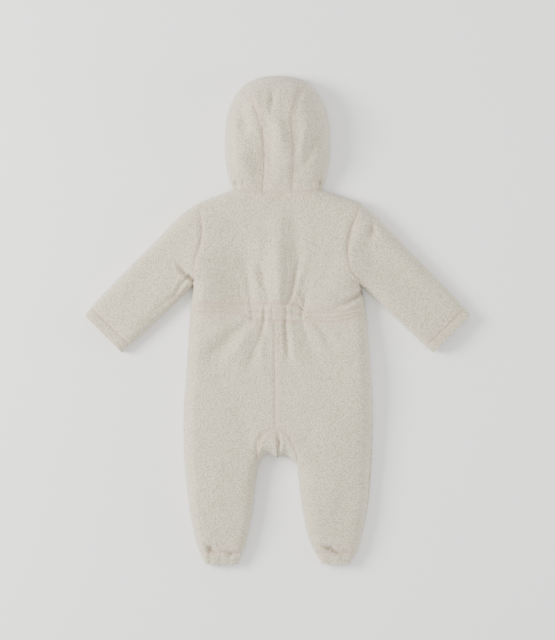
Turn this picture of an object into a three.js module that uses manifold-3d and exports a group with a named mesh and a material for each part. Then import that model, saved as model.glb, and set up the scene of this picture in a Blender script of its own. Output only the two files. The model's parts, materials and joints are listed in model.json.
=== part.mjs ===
// A baby's hooded snowsuit in thick sherpa fleece, zipped up and laid out flat on its front, back upwards.
// It is cut and sewn from a gathered back, two back legs, a gusset, two sleeves, a hood of three panels
// and two fronts with a zip between them. Each piece is a cloth wall of its own, 0.3 mm from its neighbours.
// Millimetres: X runs across the suit, Y from its feet to its hood, Z up from the surface it lies on.

import * as THREE from "three";
import { mergeVertices } from "three/addons/utils/BufferGeometryUtils.js";
import Module from "manifold-3d";

// Cloth, and the roll of the fronts up to the side seams where they meet the back
const CLOTH = 4; // fleece backing and pile together
const SEAM_GAP = 0.3;
const SIDE_SEAM_Z = 10;
const UNDER_ROLL = 12;

// Hood outline, rounder than an ellipse, with the neck seam across its lower end
const HOOD = { middleY: 281.5, halfWidth: 84, halfHeight: 108.5, squareness: 2.5 };
const NECK = { cornerY: 209, middleY: 203.5, frontY: 187 };
const HOOD_HEM = { width: 24, steps: 36, shortOfNeck: 0.03 }; // the last is an angle in radians

// Side seams and outer legs down to the ankles, either side of the middle
const SIDE_SEAMS = [
  { y: 54, left: -135, right: 134 },
  { y: 33, left: -137, right: 138 },
  { y: 4, left: -140, right: 142 },
  { y: -44, left: -143, right: 146 },
  { y: -92, left: -146, right: 150 },
  { y: -150, left: -150, right: 152 },
  { y: -198, left: -150, right: 151 },
  { y: -226, left: -149, right: 150 },
  { y: -255, left: -146, right: 148 },
  { y: -294, left: -142, right: 145 },
  { y: -332, left: -135, right: 137 },
  { y: -361, left: -128, right: 131 },
  { y: -371, left: -124, right: 127 },
  { y: -383, left: -119, right: 119 },
  { y: -390, left: -116, right: 116 },
];
const INSIDE_LEGS = [
  { y: -236, left: -32, right: 32 },
  { y: -255, left: -34, right: 34 },
  { y: -274, left: -37, right: 36 },
  { y: -294, left: -39, right: 39 },
  { y: -313, left: -41, right: 42 },
  { y: -332, left: -45.5, right: 45.5 },
  { y: -351, left: -49, right: 50.5 },
  { y: -371, left: -55, right: 60 },
  { y: -383, left: -60, right: 67 },
  { y: -390, left: -63, right: 71 },
];

// Crotch outline, with the two tucks beside the fold of the gusset
const CROTCH = [
  { x: -32, y: -236 },
  { x: -24, y: -221 },
  { x: -13, y: -213.5 },
  { x: -8, y: -218.5 },
  { x: 0, y: -222.5 },
  { x: 8, y: -218.5 },
  { x: 14.5, y: -216 },
  { x: 20, y: -225 },
  { x: 32, y: -236 },
];
const GUSSET = { topY: -172.5, footY: -236, halfWidth: 32, squareness: 2.2, topX: -4, footX: 0 };
const MIDDLE_SEAM = { waistX: -5, waistY: 0 }; // seam of the seat, from the casing to the gusset's top

// Armhole seams from shoulder to armpit
const ARMHOLES = [
  { y: 187, left: -126, right: 133 },
  { y: 167, left: -123, right: 126 },
  { y: 150, left: -120, right: 118.5 },
  { y: 138, left: -118.5, right: 114 },
  { y: 121, left: -123, right: 111 },
  { y: 100, left: -130, right: 111.5 },
  { y: 84, left: -133.5, right: 115 },
  { y: 68, left: -134.5, right: 121.5 },
  { y: 54, left: -135, right: 134 },
];

// Edges of either sleeve from its armhole, at 0, to its cuff, at 1. X is measured outwards.
const SLEEVE = [
  { along: 0.06, upperX: 142, upperY: 178.5, lowerX: 141, lowerY: 48 },
  { along: 0.14, upperX: 157.5, upperY: 166, lowerX: 149, lowerY: 40.5 },
  { along: 0.28, upperX: 184.5, upperY: 137, lowerX: 163.5, lowerY: 26.5 },
  { along: 0.5, upperX: 225.5, upperY: 96, lowerX: 185.5, lowerY: 5 },
  { along: 0.8, upperX: 280, upperY: 40.5, lowerX: 216, lowerY: -23.5 },
  { along: 1, upperX: 309, upperY: 8.5, lowerX: 248, lowerY: -53 },
];

// Waist casing: a narrow band, twice as deep over the gathered elastic in the middle
const CASING = [
  { x: -137, top: 28, foot: 14 },
  { x: -54, top: 25, foot: 11 },
  { x: -42, top: 27, foot: 1 },
  { x: -10, top: 27, foot: -1 },
  { x: 30, top: 26, foot: -4 },
  { x: 44, top: 13, foot: -3 },
  { x: 100, top: 12, foot: -2 },
  { x: 139, top: 24, foot: 11 },
];

// Seams either side of the hood's middle panel
const HOOD_SEAMS = [
  { y: 204, left: -24, right: 22.5 },
  { y: 250, left: -21, right: 25 },
  { y: 290, left: -22, right: 24 },
  { y: 316, left: -30, right: 21.5 },
  { y: 340, left: -37, right: 25 },
  { y: 362, left: -42, right: 31 },
  { y: 386, left: -44, right: 34 },
];

// Height of the back above the surface and the width of its rolled edges, down the suit
const FILL = [
  { y: 390, height: 60, roll: 58 },
  { y: 330, height: 67, roll: 62 },
  { y: 280, height: 67, roll: 62 },
  { y: 250, height: 58, roll: 52 },
  { y: 225, height: 42, roll: 34 },
  { y: 205, height: 32, roll: 22 },
  { y: 150, height: 36, roll: 20 },
  { y: 60, height: 38, roll: 20 },
  { y: 12, height: 33, roll: 20 },
  { y: -60, height: 40, roll: 22 },
  { y: -230, height: 40, roll: 22 },
  { y: -320, height: 34, roll: 20 },
  { y: -371, height: 25, roll: 16 },
  { y: -390, height: 21, roll: 14 },
];
const SLEEVE_FILL = [
  { x: 120, height: 36, roll: 20 },
  { x: 180, height: 31, roll: 19 },
  { x: 250, height: 27, roll: 17 },
  { x: 310, height: 23, roll: 15 },
];
const SLEEVE_BLEND = { fromX: 118, toX: 165, fromY: -80, toY: -60 };

// Folds of the back: a trough between two points, or a ridge where its depth is negative
const FOLDS = [
  { name: "ridge down the middle", x0: 0, y0: 150, x1: -3, y1: 30, halfWidth: 13, depth: -2.8 },
  { name: "hollow right of the ridge", x0: 26, y0: 110, x1: 16, y1: 30, halfWidth: 8, depth: 2.8 },
  { name: "hollow left of the ridge", x0: -30, y0: 90, x1: -19, y1: 30, halfWidth: 8, depth: 2 },
  { name: "outer gather, left", x0: -52, y0: 52, x1: -49, y1: 28, halfWidth: 6, depth: 2.4 },
  { name: "outer gather, right", x0: 41, y0: 64, x1: 37, y1: 20, halfWidth: 6, depth: 2.6 },
  { name: "tuck below the casing, left", x0: -42, y0: 5, x1: -62, y1: -26, halfWidth: 7, depth: 2.8 },
  { name: "tuck left of the middle", x0: -22, y0: 2, x1: -27, y1: -34, halfWidth: 6, depth: 2.8 },
  { name: "tuck right of the middle", x0: 12, y0: 0, x1: 16, y1: -50, halfWidth: 6, depth: 2.8 },
  { name: "tuck below the casing, right", x0: 37, y0: -2, x1: 50, y1: -32, halfWidth: 7, depth: 2 },
  { name: "slack in the left seat", x0: -84, y0: -28, x1: -96, y1: -92, halfWidth: 14, depth: 2 },
  { name: "slack in the right seat", x0: 78, y0: -30, x1: 86, y1: -84, halfWidth: 14, depth: 1.8 },
  { name: "crease from the left armpit", x0: -138, y0: 66, x1: -166, y1: 93, halfWidth: 7, depth: 5 },
  { name: "crease along that sleeve", x0: -146, y0: 62, x1: -184, y1: 26, halfWidth: 6, depth: 2.4 },
  { name: "crease from the right armpit", x0: 131, y0: 50, x1: 96, y1: 31, halfWidth: 7, depth: 4.5 },
  { name: "dent in the right sleeve head", x0: 151, y0: 152, x1: 150, y1: 128, halfWidth: 9, depth: 2.4 },
  { name: "hood hollow, left", x0: -58, y0: 318, x1: -35, y1: 236, halfWidth: 12, depth: 6.5 },
  { name: "hood hollow, right", x0: 49, y0: 288, x1: 35, y1: 226, halfWidth: 10, depth: 5 },
  { name: "dip in the crown", x0: -9, y0: 358, x1: -9, y1: 330, halfWidth: 9, depth: 2.4 },
  { name: "pinch at the left neck", x0: -62, y0: 224, x1: -60, y1: 214, halfWidth: 6, depth: 5 },
  { name: "pinch at the right neck", x0: 63, y0: 225, x1: 61, y1: 214, halfWidth: 6, depth: 5 },
];
// Stitched lines and gathers, which dent only the outside of the cloth
const CREASES = [
  { name: "left cuff hem", x0: -292, y0: 16, x1: -241, y1: -35, halfWidth: 4, depth: 1.8 },
  { name: "right cuff hem", x0: 292, y0: 16, x1: 241, y1: -35, halfWidth: 4, depth: 1.8 },
  { name: "casing gather 1", x0: -39, y0: 25, x1: -39, y1: 4, halfWidth: 4, depth: 2 },
  { name: "casing gather 2", x0: -22, y0: 25, x1: -22, y1: 2, halfWidth: 4, depth: 2 },
  { name: "casing gather 3", x0: -5, y0: 24, x1: -5, y1: 0, halfWidth: 4, depth: 1.4 },
  { name: "casing gather 4", x0: 14, y0: 24, x1: 13, y1: -3, halfWidth: 4, depth: 2 },
  { name: "casing gather 5", x0: 32, y0: 24, x1: 31, y1: -3, halfWidth: 4, depth: 1.8 },
  { name: "left ankle gather 1", x0: -108, y0: -368, x1: -106, y1: -388, halfWidth: 4, depth: 2.2 },
  { name: "left ankle gather 2", x0: -90, y0: -370, x1: -90, y1: -388, halfWidth: 4, depth: 1.6 },
  { name: "left ankle gather 3", x0: -76, y0: -370, x1: -78, y1: -388, halfWidth: 4, depth: 2.2 },
  { name: "right ankle gather 1", x0: 81, y0: -371, x1: 84, y1: -388, halfWidth: 4, depth: 2 },
  { name: "right ankle gather 2", x0: 94, y0: -370, x1: 94, y1: -388, halfWidth: 4, depth: 1.6 },
  { name: "right ankle gather 3", x0: 111, y0: -370, x1: 106, y1: -388, halfWidth: 4, depth: 2.2 },
];

// Zip between the fronts: tapes on their inside, and the closed chain, recessed above the surface
const ZIP = { x: -4.5, halfOpening: 4.5, topY: 182, footY: -167 };
const TAPE = { inset: 2.6, width: 11.4, thickness: 0.8, overTop: 3 };
const CHAIN = { halfWidth: 2.3, thickness: 2.2, z: 3.6 };
const SLIDER = { y: 180, halfLength: 4.5, halfWidth: 4, plate: 1, clearance: 0.3, postHalfWidth: 1.2 };
const CROWN = { halfWidth: 0.6, halfSpan: 2.2, bar: 0.8, headroom: 1.3 };
const PULL = { halfWidth: 2.25, thickness: 0.8, crossbar: 0.8, slot: 3.6, slotHalfWidth: 0.9, length: 22 };

// Lines of the cloth grids, as shares of the way across or along
const ARMHOLE_STEPS = [0, 0.02, 0.07, 0.16, 0.31, 0.5, 0.69, 0.84, 0.93, 0.98, 1];
const SLEEVE_STEPS = [0, 0.05, 0.12, 0.2, 0.3, 0.41, 0.52, 0.63, 0.74, 0.82, 0.885, 0.915, 0.945, 1];
const WAIST_STEPS = [
  0, 0.013, 0.05, 0.105, 0.17, 0.25, 0.34, 0.43, 0.52, 0.6, 0.67, 0.74, 0.81, 0.87, 0.935, 1,
];
const LEG_STEPS = [
  0, 0.015, 0.06, 0.13, 0.22, 0.31, 0.4, 0.5, 0.6, 0.69, 0.78, 0.87, 0.94, 0.965, 0.985, 1,
];
const FRONT_STEPS = [0, 0.015, 0.05, 0.1, 0.22, 0.42, 0.62, 0.82, 1];
const FRONT_LEG_STEPS = [0, 0.02, 0.07, 0.15, 0.5, 0.85, 0.93, 0.98, 1];
const HOOD_SIDE_STEPS = [0, 0.05, 0.17, 0.35, 0.56, 0.78, 1];
const HOOD_HEM_STEPS = [0, 0.05, 0.2, 0.5, 1];
const HOOD_MIDDLE_STEPS = 8;
const SHOULDER_STEPS = 5;
const FRONT_SHOULDER_STEPS = 4;
const CASING_STEPS = [0, 0.33, 0.67, 1];
const GUSSET_STEPS = [0, 0.25, 0.5, 0.75, 1];

// Rows of the cloth grids, as heights up the suit
const SIDE_ROWS = 2; // between armpit and casing
const SEAT_ROWS = [-17, -36, -60, -86, -112, -136, -157];
const GUSSET_ROWS = [-173.6, -176, -181, -190, -203, -219];
const SHIN_ROWS = [-252, -271, -291, -312, -332, -349, -361];
const ANKLE_ROWS = [-371, -376, -382, -387, -390];
const FRONT_ROWS = [36, 4, -40, -92, -136, -157];
const HOOD_ROWS = [
  { seam: 216, outline: 219 },
  { seam: 234, outline: 236 },
  { seam: 256, outline: 256 },
  { seam: 278, outline: 276 },
  { seam: 300, outline: 298 },
  { seam: 320, outline: 318 },
  { seam: 337, outline: 335 },
  { seam: 351, outline: 350 },
  { seam: 362, outline: 361.5 },
  { seam: 371, outline: 370 },
  { seam: 378, outline: 376.5 },
];
const CROWN_FROM_Y = 320; // above this the middle panel's rows start to follow the crown
const CROWN_CORNER = { y: 386, side: 3 }; // how much of the outline closes a side panel

const FLEECE = { color: 0xd9d4c6, roughness: 0.95, metalness: 0 };
const ZIP_TAPE = { color: 0xd8d2c4, roughness: 0.85, metalness: 0 };
const ZIP_PLASTIC = { color: 0xe4dfd2, roughness: 0.45, metalness: 0 };
const ZIP_METAL = { color: 0xc9c7c1, roughness: 0.4, metalness: 0.8 };

const { lerp, smoothstep, clamp } = THREE.MathUtils;
const signOf = (side) => (side === "left" ? -1 : 1);

// A table's column at a key, on a smooth curve through its rows that never overshoots them.
function read(table, key, column, at) {
  const rows = table[0][key] < table[table.length - 1][key] ? table : [...table].reverse();
  const last = rows.length - 1;
  if (at <= rows[0][key]) return rows[0][column];
  if (at >= rows[last][key]) return rows[last][column];
  const i = rows.findIndex((row) => row[key] > at) - 1;
  const slope = (k) => (rows[k + 1][column] - rows[k][column]) / (rows[k + 1][key] - rows[k][key]);
  const tangent = (k) => {
    if (k === 0) return slope(0);
    if (k === last) return slope(last - 1);
    const before = slope(k - 1);
    const after = slope(k);
    return before * after <= 0 ? 0 : (2 * before * after) / (before + after);
  };
  const span = rows[i + 1][key] - rows[i][key];
  const t = (at - rows[i][key]) / span;
  const t2 = t * t;
  const t3 = t2 * t;
  return (
    (2 * t3 - 3 * t2 + 1) * rows[i][column] +
    (t3 - 2 * t2 + t) * span * tangent(i) +
    (3 * t2 - 2 * t3) * rows[i + 1][column] +
    (t3 - t2) * span * tangent(i + 1)
  );
}

// Plan points. One on the suit's outline is marked, because back and front meet there.
const inside = (x, y) => ({ x, y, edge: false });
const onEdge = (x, y) => ({ x, y, edge: true });
const between = (a, b, share) => inside(lerp(a.x, b.x, share), lerp(a.y, b.y, share));
const across = (outer, inner, shares) =>
  shares.map((share) => {
    if (share === 0) return outer;
    return share === 1 ? inner : between(outer, inner, share);
  });
const run = (from, to, count, at) =>
  Array.from({ length: count + 1 }, (_, i) => at(lerp(from, to, i / count)));

// Hood outline: its half width at a height, its top at a place across, and its loop from neck to neck
function hoodHalfWidth(y) {
  const share = Math.abs(y - HOOD.middleY) / HOOD.halfHeight;
  return HOOD.halfWidth * (1 - share ** HOOD.squareness) ** (1 / HOOD.squareness);
}
function hoodTop(x) {
  const share = Math.abs(x) / HOOD.halfWidth;
  return HOOD.middleY + HOOD.halfHeight * (1 - share ** HOOD.squareness) ** (1 / HOOD.squareness);
}
function hoodLoop(steps, short) {
  const neckShare = (HOOD.middleY - NECK.cornerY) / HOOD.halfHeight;
  const neckAngle = Math.asin(neckShare ** (HOOD.squareness / 2)) - short;
  const power = (v) => Math.sign(v) * Math.abs(v) ** (2 / HOOD.squareness);
  return run(Math.PI + neckAngle, -neckAngle, steps, (angle) => {
    const x = HOOD.halfWidth * power(Math.cos(angle));
    return onEdge(x, HOOD.middleY + HOOD.halfHeight * power(Math.sin(angle)));
  });
}

// Seam positions that several pieces share
const neckCorner = (side) => onEdge(signOf(side) * hoodHalfWidth(NECK.cornerY), NECK.cornerY);
const sideSeam = (side, y) => onEdge(read(SIDE_SEAMS, "y", side, y), y);
const insideLeg = (side, y) => onEdge(read(INSIDE_LEGS, "y", side, y), y);
const crotch = (x) => onEdge(x, read(CROTCH, "x", "y", x));
function backMiddle(y) {
  const share = smoothstep(y, GUSSET.topY, MIDDLE_SEAM.waistY);
  return inside(lerp(GUSSET.topX, MIDDLE_SEAM.waistX, share), y);
}
const zipEdge = (side, y) => inside(ZIP.x + signOf(side) * ZIP.halfOpening, y);
const hoodSeam = (side, y) => inside(read(HOOD_SEAMS, "y", side, y), y);

const shoulderY = ARMHOLES[0].y;
const armpitY = ARMHOLES[ARMHOLES.length - 1].y;
const footY = SIDE_SEAMS[SIDE_SEAMS.length - 1].y;

// Armhole seam from shoulder to armpit.
function armhole(side) {
  return ARMHOLE_STEPS.map((share) => {
    const y = lerp(shoulderY, armpitY, share);
    return { x: read(ARMHOLES, "y", side, y), y, edge: share === 0 || share === 1 };
  });
}

// Edge of a sleeve at a share of its length, starting at the end of its own armhole.
function sleeveEdge(side, edge, along) {
  const sign = signOf(side);
  const y = edge === "upper" ? shoulderY : armpitY;
  const start = { along: 0, [edge + "X"]: sign * read(ARMHOLES, "y", side, y), [edge + "Y"]: y };
  const table = [start, ...SLEEVE];
  const x = sign * read(table, "along", edge + "X", along);
  return onEdge(x, read(table, "along", edge + "Y", along));
}

// Outline of one half of the suit from shoulder to crotch. It runs on past the open cuff and ankle.
const BEYOND = 80;
function halfOutline(side) {
  const sign = signOf(side);
  const pastCuff = (edge) => {
    const end = sleeveEdge(side, edge, 1);
    return onEdge(end.x + sign * BEYOND, end.y - BEYOND);
  };
  return [
    ...run(0, 1, 36, (along) => sleeveEdge(side, "upper", along)),
    pastCuff("upper"),
    pastCuff("lower"),
    ...run(1, 0, 24, (along) => sleeveEdge(side, "lower", along)),
    ...run(armpitY, footY, 48, (y) => sideSeam(side, y)),
    onEdge(sideSeam(side, footY).x, footY - BEYOND),
    onEdge(insideLeg(side, footY).x, footY - BEYOND),
    ...run(footY, GUSSET.footY, 20, (y) => insideLeg(side, y)),
  ];
}
const OUTLINE = [
  ...hoodLoop(90, 0),
  ...halfOutline("right"),
  ...run(GUSSET.halfWidth, -GUSSET.halfWidth, 48, crotch),
  ...halfOutline("left").reverse(),
];

// Distance of a plan point from the outline, and the direction straight in from there. Near the
// outline that direction is taken square to the outline itself.
const NEAR_OUTLINE = 0.5;
function fromOutline(p) {
  let best = Infinity;
  let inX = 0;
  let inY = 0;
  OUTLINE.forEach((a, i) => {
    const b = OUTLINE[(i + 1) % OUTLINE.length];
    const dx = b.x - a.x;
    const dy = b.y - a.y;
    const length = Math.hypot(dx, dy);
    if (length === 0) return;
    const share = clamp(((p.x - a.x) * dx + (p.y - a.y) * dy) / length ** 2, 0, 1);
    const awayX = p.x - a.x - share * dx;
    const awayY = p.y - a.y - share * dy;
    const distance = Math.hypot(awayX, awayY);
    if (distance >= best) return;
    best = distance;
    const near = distance < NEAR_OUTLINE;
    inX = near ? dy / length : awayX / distance;
    inY = near ? -dx / length : awayY / distance;
  });
  return { distance: p.edge ? 0 : best, inX, inY };
}

// How far a table of troughs lowers the cloth at a plan point.
function lowered(table, x, y) {
  return table.reduce((sum, fold) => {
    const dx = fold.x1 - fold.x0;
    const dy = fold.y1 - fold.y0;
    const share = clamp(((x - fold.x0) * dx + (y - fold.y0) * dy) / (dx * dx + dy * dy), 0, 1);
    const away = Math.hypot(x - fold.x0 - share * dx, y - fold.y0 - share * dy) / fold.halfWidth;
    return sum + fold.depth * Math.exp(-away * away);
  }, 0);
}

// A column of the fill tables at a place: the back's own, running into the sleeves'.
function fillOf(x, y, column) {
  const { fromX, toX, fromY, toY } = SLEEVE_BLEND;
  const share = smoothstep(Math.abs(x), fromX, toX) * smoothstep(y, fromY, toY);
  return lerp(read(FILL, "y", column, y), read(SLEEVE_FILL, "x", column, Math.abs(x)), share);
}
const backHeight = (x, y) => fillOf(x, y, "height") - lowered(FOLDS, x, y);

// The back's surface at a plan point: with its creases, without them, and the way out of the cloth.
function backFace(p) {
  const { distance, inX, inY } = fromOutline(p);
  const roll = fillOf(p.x, p.y, "roll");
  const q = Math.max(0, 1 - distance / roll);
  const rise = Math.sqrt(1 - q * q);
  const height = backHeight(p.x, p.y);
  const slopeX = (backHeight(p.x + 1, p.y) - backHeight(p.x - 1, p.y)) / 2;
  const slopeY = (backHeight(p.x, p.y + 1) - backHeight(p.x, p.y - 1)) / 2;
  const lean = ((height - SIDE_SEAM_Z) * q) / roll;
  const outX = -lean * inX - rise * rise * slopeX;
  const outY = -lean * inY - rise * rise * slopeY;
  const out = new THREE.Vector3(outX, outY, rise).normalize();
  const plain = new THREE.Vector3(p.x, p.y, SIDE_SEAM_Z + (height - SIDE_SEAM_Z) * rise);
  const face = plain.clone();
  face.z -= rise * lowered(CREASES, p.x, p.y);
  return { face, plain, out, lift: SEAM_GAP / 2 };
}

// The fronts' surface, which curls in from the side seams and lies flat.
function frontFace(p) {
  const { distance, inX, inY } = fromOutline(p);
  const q = Math.max(0, 1 - distance / UNDER_ROLL);
  const rise = Math.sqrt(1 - q * q);
  const lean = (SIDE_SEAM_Z * q) / UNDER_ROLL;
  const out = new THREE.Vector3(-lean * inX, -lean * inY, -rise).normalize();
  const plain = new THREE.Vector3(p.x, p.y, SIDE_SEAM_Z * (1 - rise));
  return { face: plain.clone(), plain, out, lift: -SEAM_GAP / 2 };
}
const tubeFace = (p) => (p.under ? frontFace(p) : backFace(p));

// Plan grid between four borders, in rows from the first border to the last.
function fillGrid(first, last, left, right) {
  const shares = (line) => {
    const sums = [0];
    line.slice(1).forEach((p, i) => sums.push(sums[i] + Math.hypot(p.x - line[i].x, p.y - line[i].y)));
    return sums.map((v) => v / sums[sums.length - 1]);
  };
  const mean = (a, b) => a.map((v, i) => (v + b[i]) / 2);
  const us = mean(shares(first), shares(last));
  const vs = mean(shares(left), shares(right));
  const width = first.length - 1;
  const blend = (axis, i, j) => {
    const [u, v] = [us[j], vs[i]];
    const upper = lerp(first[0][axis], first[width][axis], u);
    const lower = lerp(last[0][axis], last[width][axis], u);
    const sides = lerp(left[i][axis], right[i][axis], u);
    return lerp(first[j][axis], last[j][axis], v) + sides - lerp(upper, lower, v);
  };
  return left.map((_, i) =>
    first.map((_, j) => {
      if (i === 0) return first[j];
      if (i === left.length - 1) return last[j];
      if (j === 0) return left[i];
      if (j === width) return right[i];
      return inside(blend("x", i, j), blend("y", i, j));
    }),
  );
}

// Cells round a grid's border, each with the next cell in and the cells beside it on the border.
function borderCells(rows, columns, tube) {
  const cells = [];
  const add = (border, i, j, next, beside) => cells.push({ border, i, j, next, beside });
  for (let j = 0; j < columns; j++) {
    const wrapped = (k) => (tube ? (k + columns) % columns : k);
    const beside = (i) => [
      [i, wrapped(j - 1)],
      [i, wrapped(j + 1)],
    ];
    add("first", 0, j, [1, j], beside(0));
    add("last", rows - 1, j, [rows - 2, j], beside(rows - 1));
  }
  for (let i = 0; i < rows && !tube; i++) {
    const beside = (j) => [
      [i - 1, j],
      [i + 1, j],
    ];
    add("left", i, 0, [i, 1], beside(0));
    add("right", i, columns - 1, [i, columns - 2], beside(columns - 1));
  }
  return cells;
}

// The step from a seam point into its own piece that opens half of the seam's gap. On the suit's
// outline, where the cloth stands upright, the step stays level.
const SHARPEST_CORNER = 0.3; // sine of the angle between seam and step, and no less
function seamStep(point, next, before, after, level) {
  const flat = new THREE.Vector3(1, 1, level ? 0 : 1);
  const way = next.clone().sub(point).multiply(flat).normalize();
  const along = after.clone().sub(before).multiply(flat).normalize();
  const sine = Math.max(SHARPEST_CORNER, way.clone().cross(along).length());
  return way.multiplyScalar(SEAM_GAP / 2 / sine);
}

// One piece of cloth from a grid of plan points and the surface they lie on. A tube closes on itself.
function clothPiece(plan, faceOf, { tube = false, seams = ["first", "last", "left", "right"] } = {}) {
  const faces = plan.map((row) => row.map((p) => faceOf(p)));
  const steps = plan.map((row) => row.map(() => new THREE.Vector3()));
  const faceAt = ([i, j]) => faces[i][j].face;
  for (const { border, i, j, next, beside } of borderCells(plan.length, plan[0].length, tube)) {
    const cells = beside.filter(([k, l]) => plan[k]?.[l]);
    const edges = cells.filter(([k, l]) => !tube && plan[i][j].edge && plan[k][l].edge).length;
    if (edges > 0) steps[i][j].z = faces[i][j].lift;
    if (!seams.includes(border) || edges === cells.length) continue;
    const [before, after] = cells.length > 1 ? cells : [[i, j], cells[0]];
    const ends = [[i, j], next, before, after].map(faceAt);
    steps[i][j].add(seamStep(...ends, plan[i][j].edge));
  }
  const outer = faces.map((row, i) => row.map((f, j) => f.face.clone().add(steps[i][j])));
  const inner = faces.map((row, i) =>
    row.map((f, j) => f.plain.clone().add(steps[i][j]).addScaledVector(f.out, -CLOTH)),
  );
  return wall(outer, inner, tube);
}

// A closed wall between two grids of points, with its rims. The diagonal across each part of a rim
// starts at the outer point that lies further along a slanting line, so that both sides of a seam agree.
const RIM_SLANT = 0.37;
function wall(outer, inner, tube) {
  const rows = outer.length;
  const columns = outer[0].length;
  const points = [...outer.flat(), ...inner.flat()];
  const at = (i, j, side) => (side * rows + i) * columns + (j % columns);
  const index = [];
  const quad = (a, b, c, d) => index.push(a, b, c, a, c, d);
  const rim = (a, b) => {
    const [c, d] = [b + rows * columns, a + rows * columns];
    const order = (n) => points[n].x + RIM_SLANT * points[n].y;
    if (order(a) > order(b)) quad(a, b, c, d);
    else quad(b, c, d, a);
  };
  const width = tube ? columns : columns - 1;
  for (let j = 0; j < width; j++) {
    for (let i = 0; i < rows - 1; i++) {
      quad(at(i, j, 0), at(i + 1, j, 0), at(i + 1, j + 1, 0), at(i, j + 1, 0));
      quad(at(i, j, 1), at(i, j + 1, 1), at(i + 1, j + 1, 1), at(i + 1, j, 1));
    }
    rim(at(0, j, 0), at(0, j + 1, 0));
    rim(at(rows - 1, j + 1, 0), at(rows - 1, j, 0));
  }
  for (let i = 0; i < rows - 1 && !tube; i++) {
    rim(at(i + 1, 0, 0), at(i, 0, 0));
    rim(at(i, width, 0), at(i + 1, width, 0));
  }
  const geometry = new THREE.BufferGeometry().setFromPoints(points);
  return geometry.setIndex(facingOut(points, index));
}
function facingOut(points, index) {
  let volume = 0;
  for (let k = 0; k < index.length; k += 3) {
    const [a, b, c] = index.slice(k, k + 3).map((n) => points[n]);
    volume += a.dot(b.clone().cross(c));
  }
  return volume > 0 ? index : index.reverse();
}

// Line of the casing's top or foot, for each half from its side seam to the middle and whole
function waistLine(border) {
  const at = (x) => inside(x, read(CASING, "x", border, x));
  const middle = at(MIDDLE_SEAM.waistX);
  const half = (side) => {
    const endRow = CASING[side === "left" ? 0 : CASING.length - 1];
    const end = sideSeam(side, endRow[border]);
    return WAIST_STEPS.map((share) => (share === 0 ? end : at(lerp(end.x, middle.x, share))));
  };
  const [left, right] = [half("left"), half("right")];
  return { left, right, whole: [...left, ...right.slice(0, -1).reverse()] };
}

// Neck seam under a side panel of the hood, from the outline in, and under its middle panel
function neckSide(side) {
  const corner = neckCorner(side);
  const seam = inside(hoodSeam(side, NECK.middleY).x, NECK.middleY);
  return across(corner, seam, HOOD_SIDE_STEPS).map((p, j) => {
    const bend = Math.sin((HOOD_SIDE_STEPS[j] * Math.PI) / 2);
    return { ...p, y: lerp(corner.y, seam.y, bend) };
  });
}
function neckMiddle() {
  const [left, right] = ["left", "right"].map((side) => hoodSeam(side, NECK.middleY).x);
  return run(left, right, HOOD_MIDDLE_STEPS, (x) => inside(x, NECK.middleY));
}

function backBodice() {
  const shoulder = (side) => {
    const [from, to] = [sleeveEdge(side, "upper", 0), neckCorner(side)];
    return run(0, 1, SHOULDER_STEPS, (share) => ({ ...between(from, to, share), edge: true }));
  };
  const waist = waistLine("top").whole;
  const top = [
    ...shoulder("left").slice(0, -1),
    ...neckSide("left"),
    ...neckMiddle().slice(1, -1),
    ...neckSide("right").reverse(),
    ...shoulder("right").reverse().slice(1),
  ];
  const side = (name, end) => {
    const below = run(armpitY, end.y, SIDE_ROWS, (y) => sideSeam(name, y)).slice(1);
    return [...armhole(name), ...below];
  };
  const left = side("left", waist[0]);
  const right = side("right", waist[waist.length - 1]);
  return clothPiece(fillGrid(top, waist, left, right), backFace);
}

function waistCasing() {
  const top = waistLine("top").whole;
  const foot = waistLine("foot").whole;
  const rows = CASING_STEPS.map((share) =>
    top.map((p, j) => ({ ...between(p, foot[j], share), edge: p.edge })),
  );
  return clothPiece(rows, backFace);
}

// Inner border of a leg: the middle seam, the arch of the gusset and then the inside leg
function arch(side, y) {
  const share = (y - GUSSET.footY) / (GUSSET.topY - GUSSET.footY);
  const half = GUSSET.halfWidth * (1 - share ** GUSSET.squareness) ** (1 / GUSSET.squareness);
  return inside(lerp(GUSSET.footX, GUSSET.topX, share) + signOf(side) * half, y);
}
function innerLeg(side, y) {
  if (y >= GUSSET.topY) return backMiddle(y);
  return y > GUSSET.footY ? arch(side, y) : insideLeg(side, y);
}
const LEG_SPREAD = { fromY: -236, toY: -110 }; // where the waist's columns give way to the leg's

function backLeg(side) {
  const heights = [
    ...SEAT_ROWS,
    GUSSET.topY,
    ...GUSSET_ROWS,
    GUSSET.footY,
    ...SHIN_ROWS,
    ANKLE_ROWS[0],
  ];
  const rows = heights.map((y) => {
    const waistShare = smoothstep(y, LEG_SPREAD.fromY, LEG_SPREAD.toY);
    const shares = LEG_STEPS.map((share, j) => lerp(share, WAIST_STEPS[j], waistShare));
    return across(sideSeam(side, y), innerLeg(side, y), shares);
  });
  return clothPiece([waistLine("foot")[side], ...rows], backFace);
}

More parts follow.
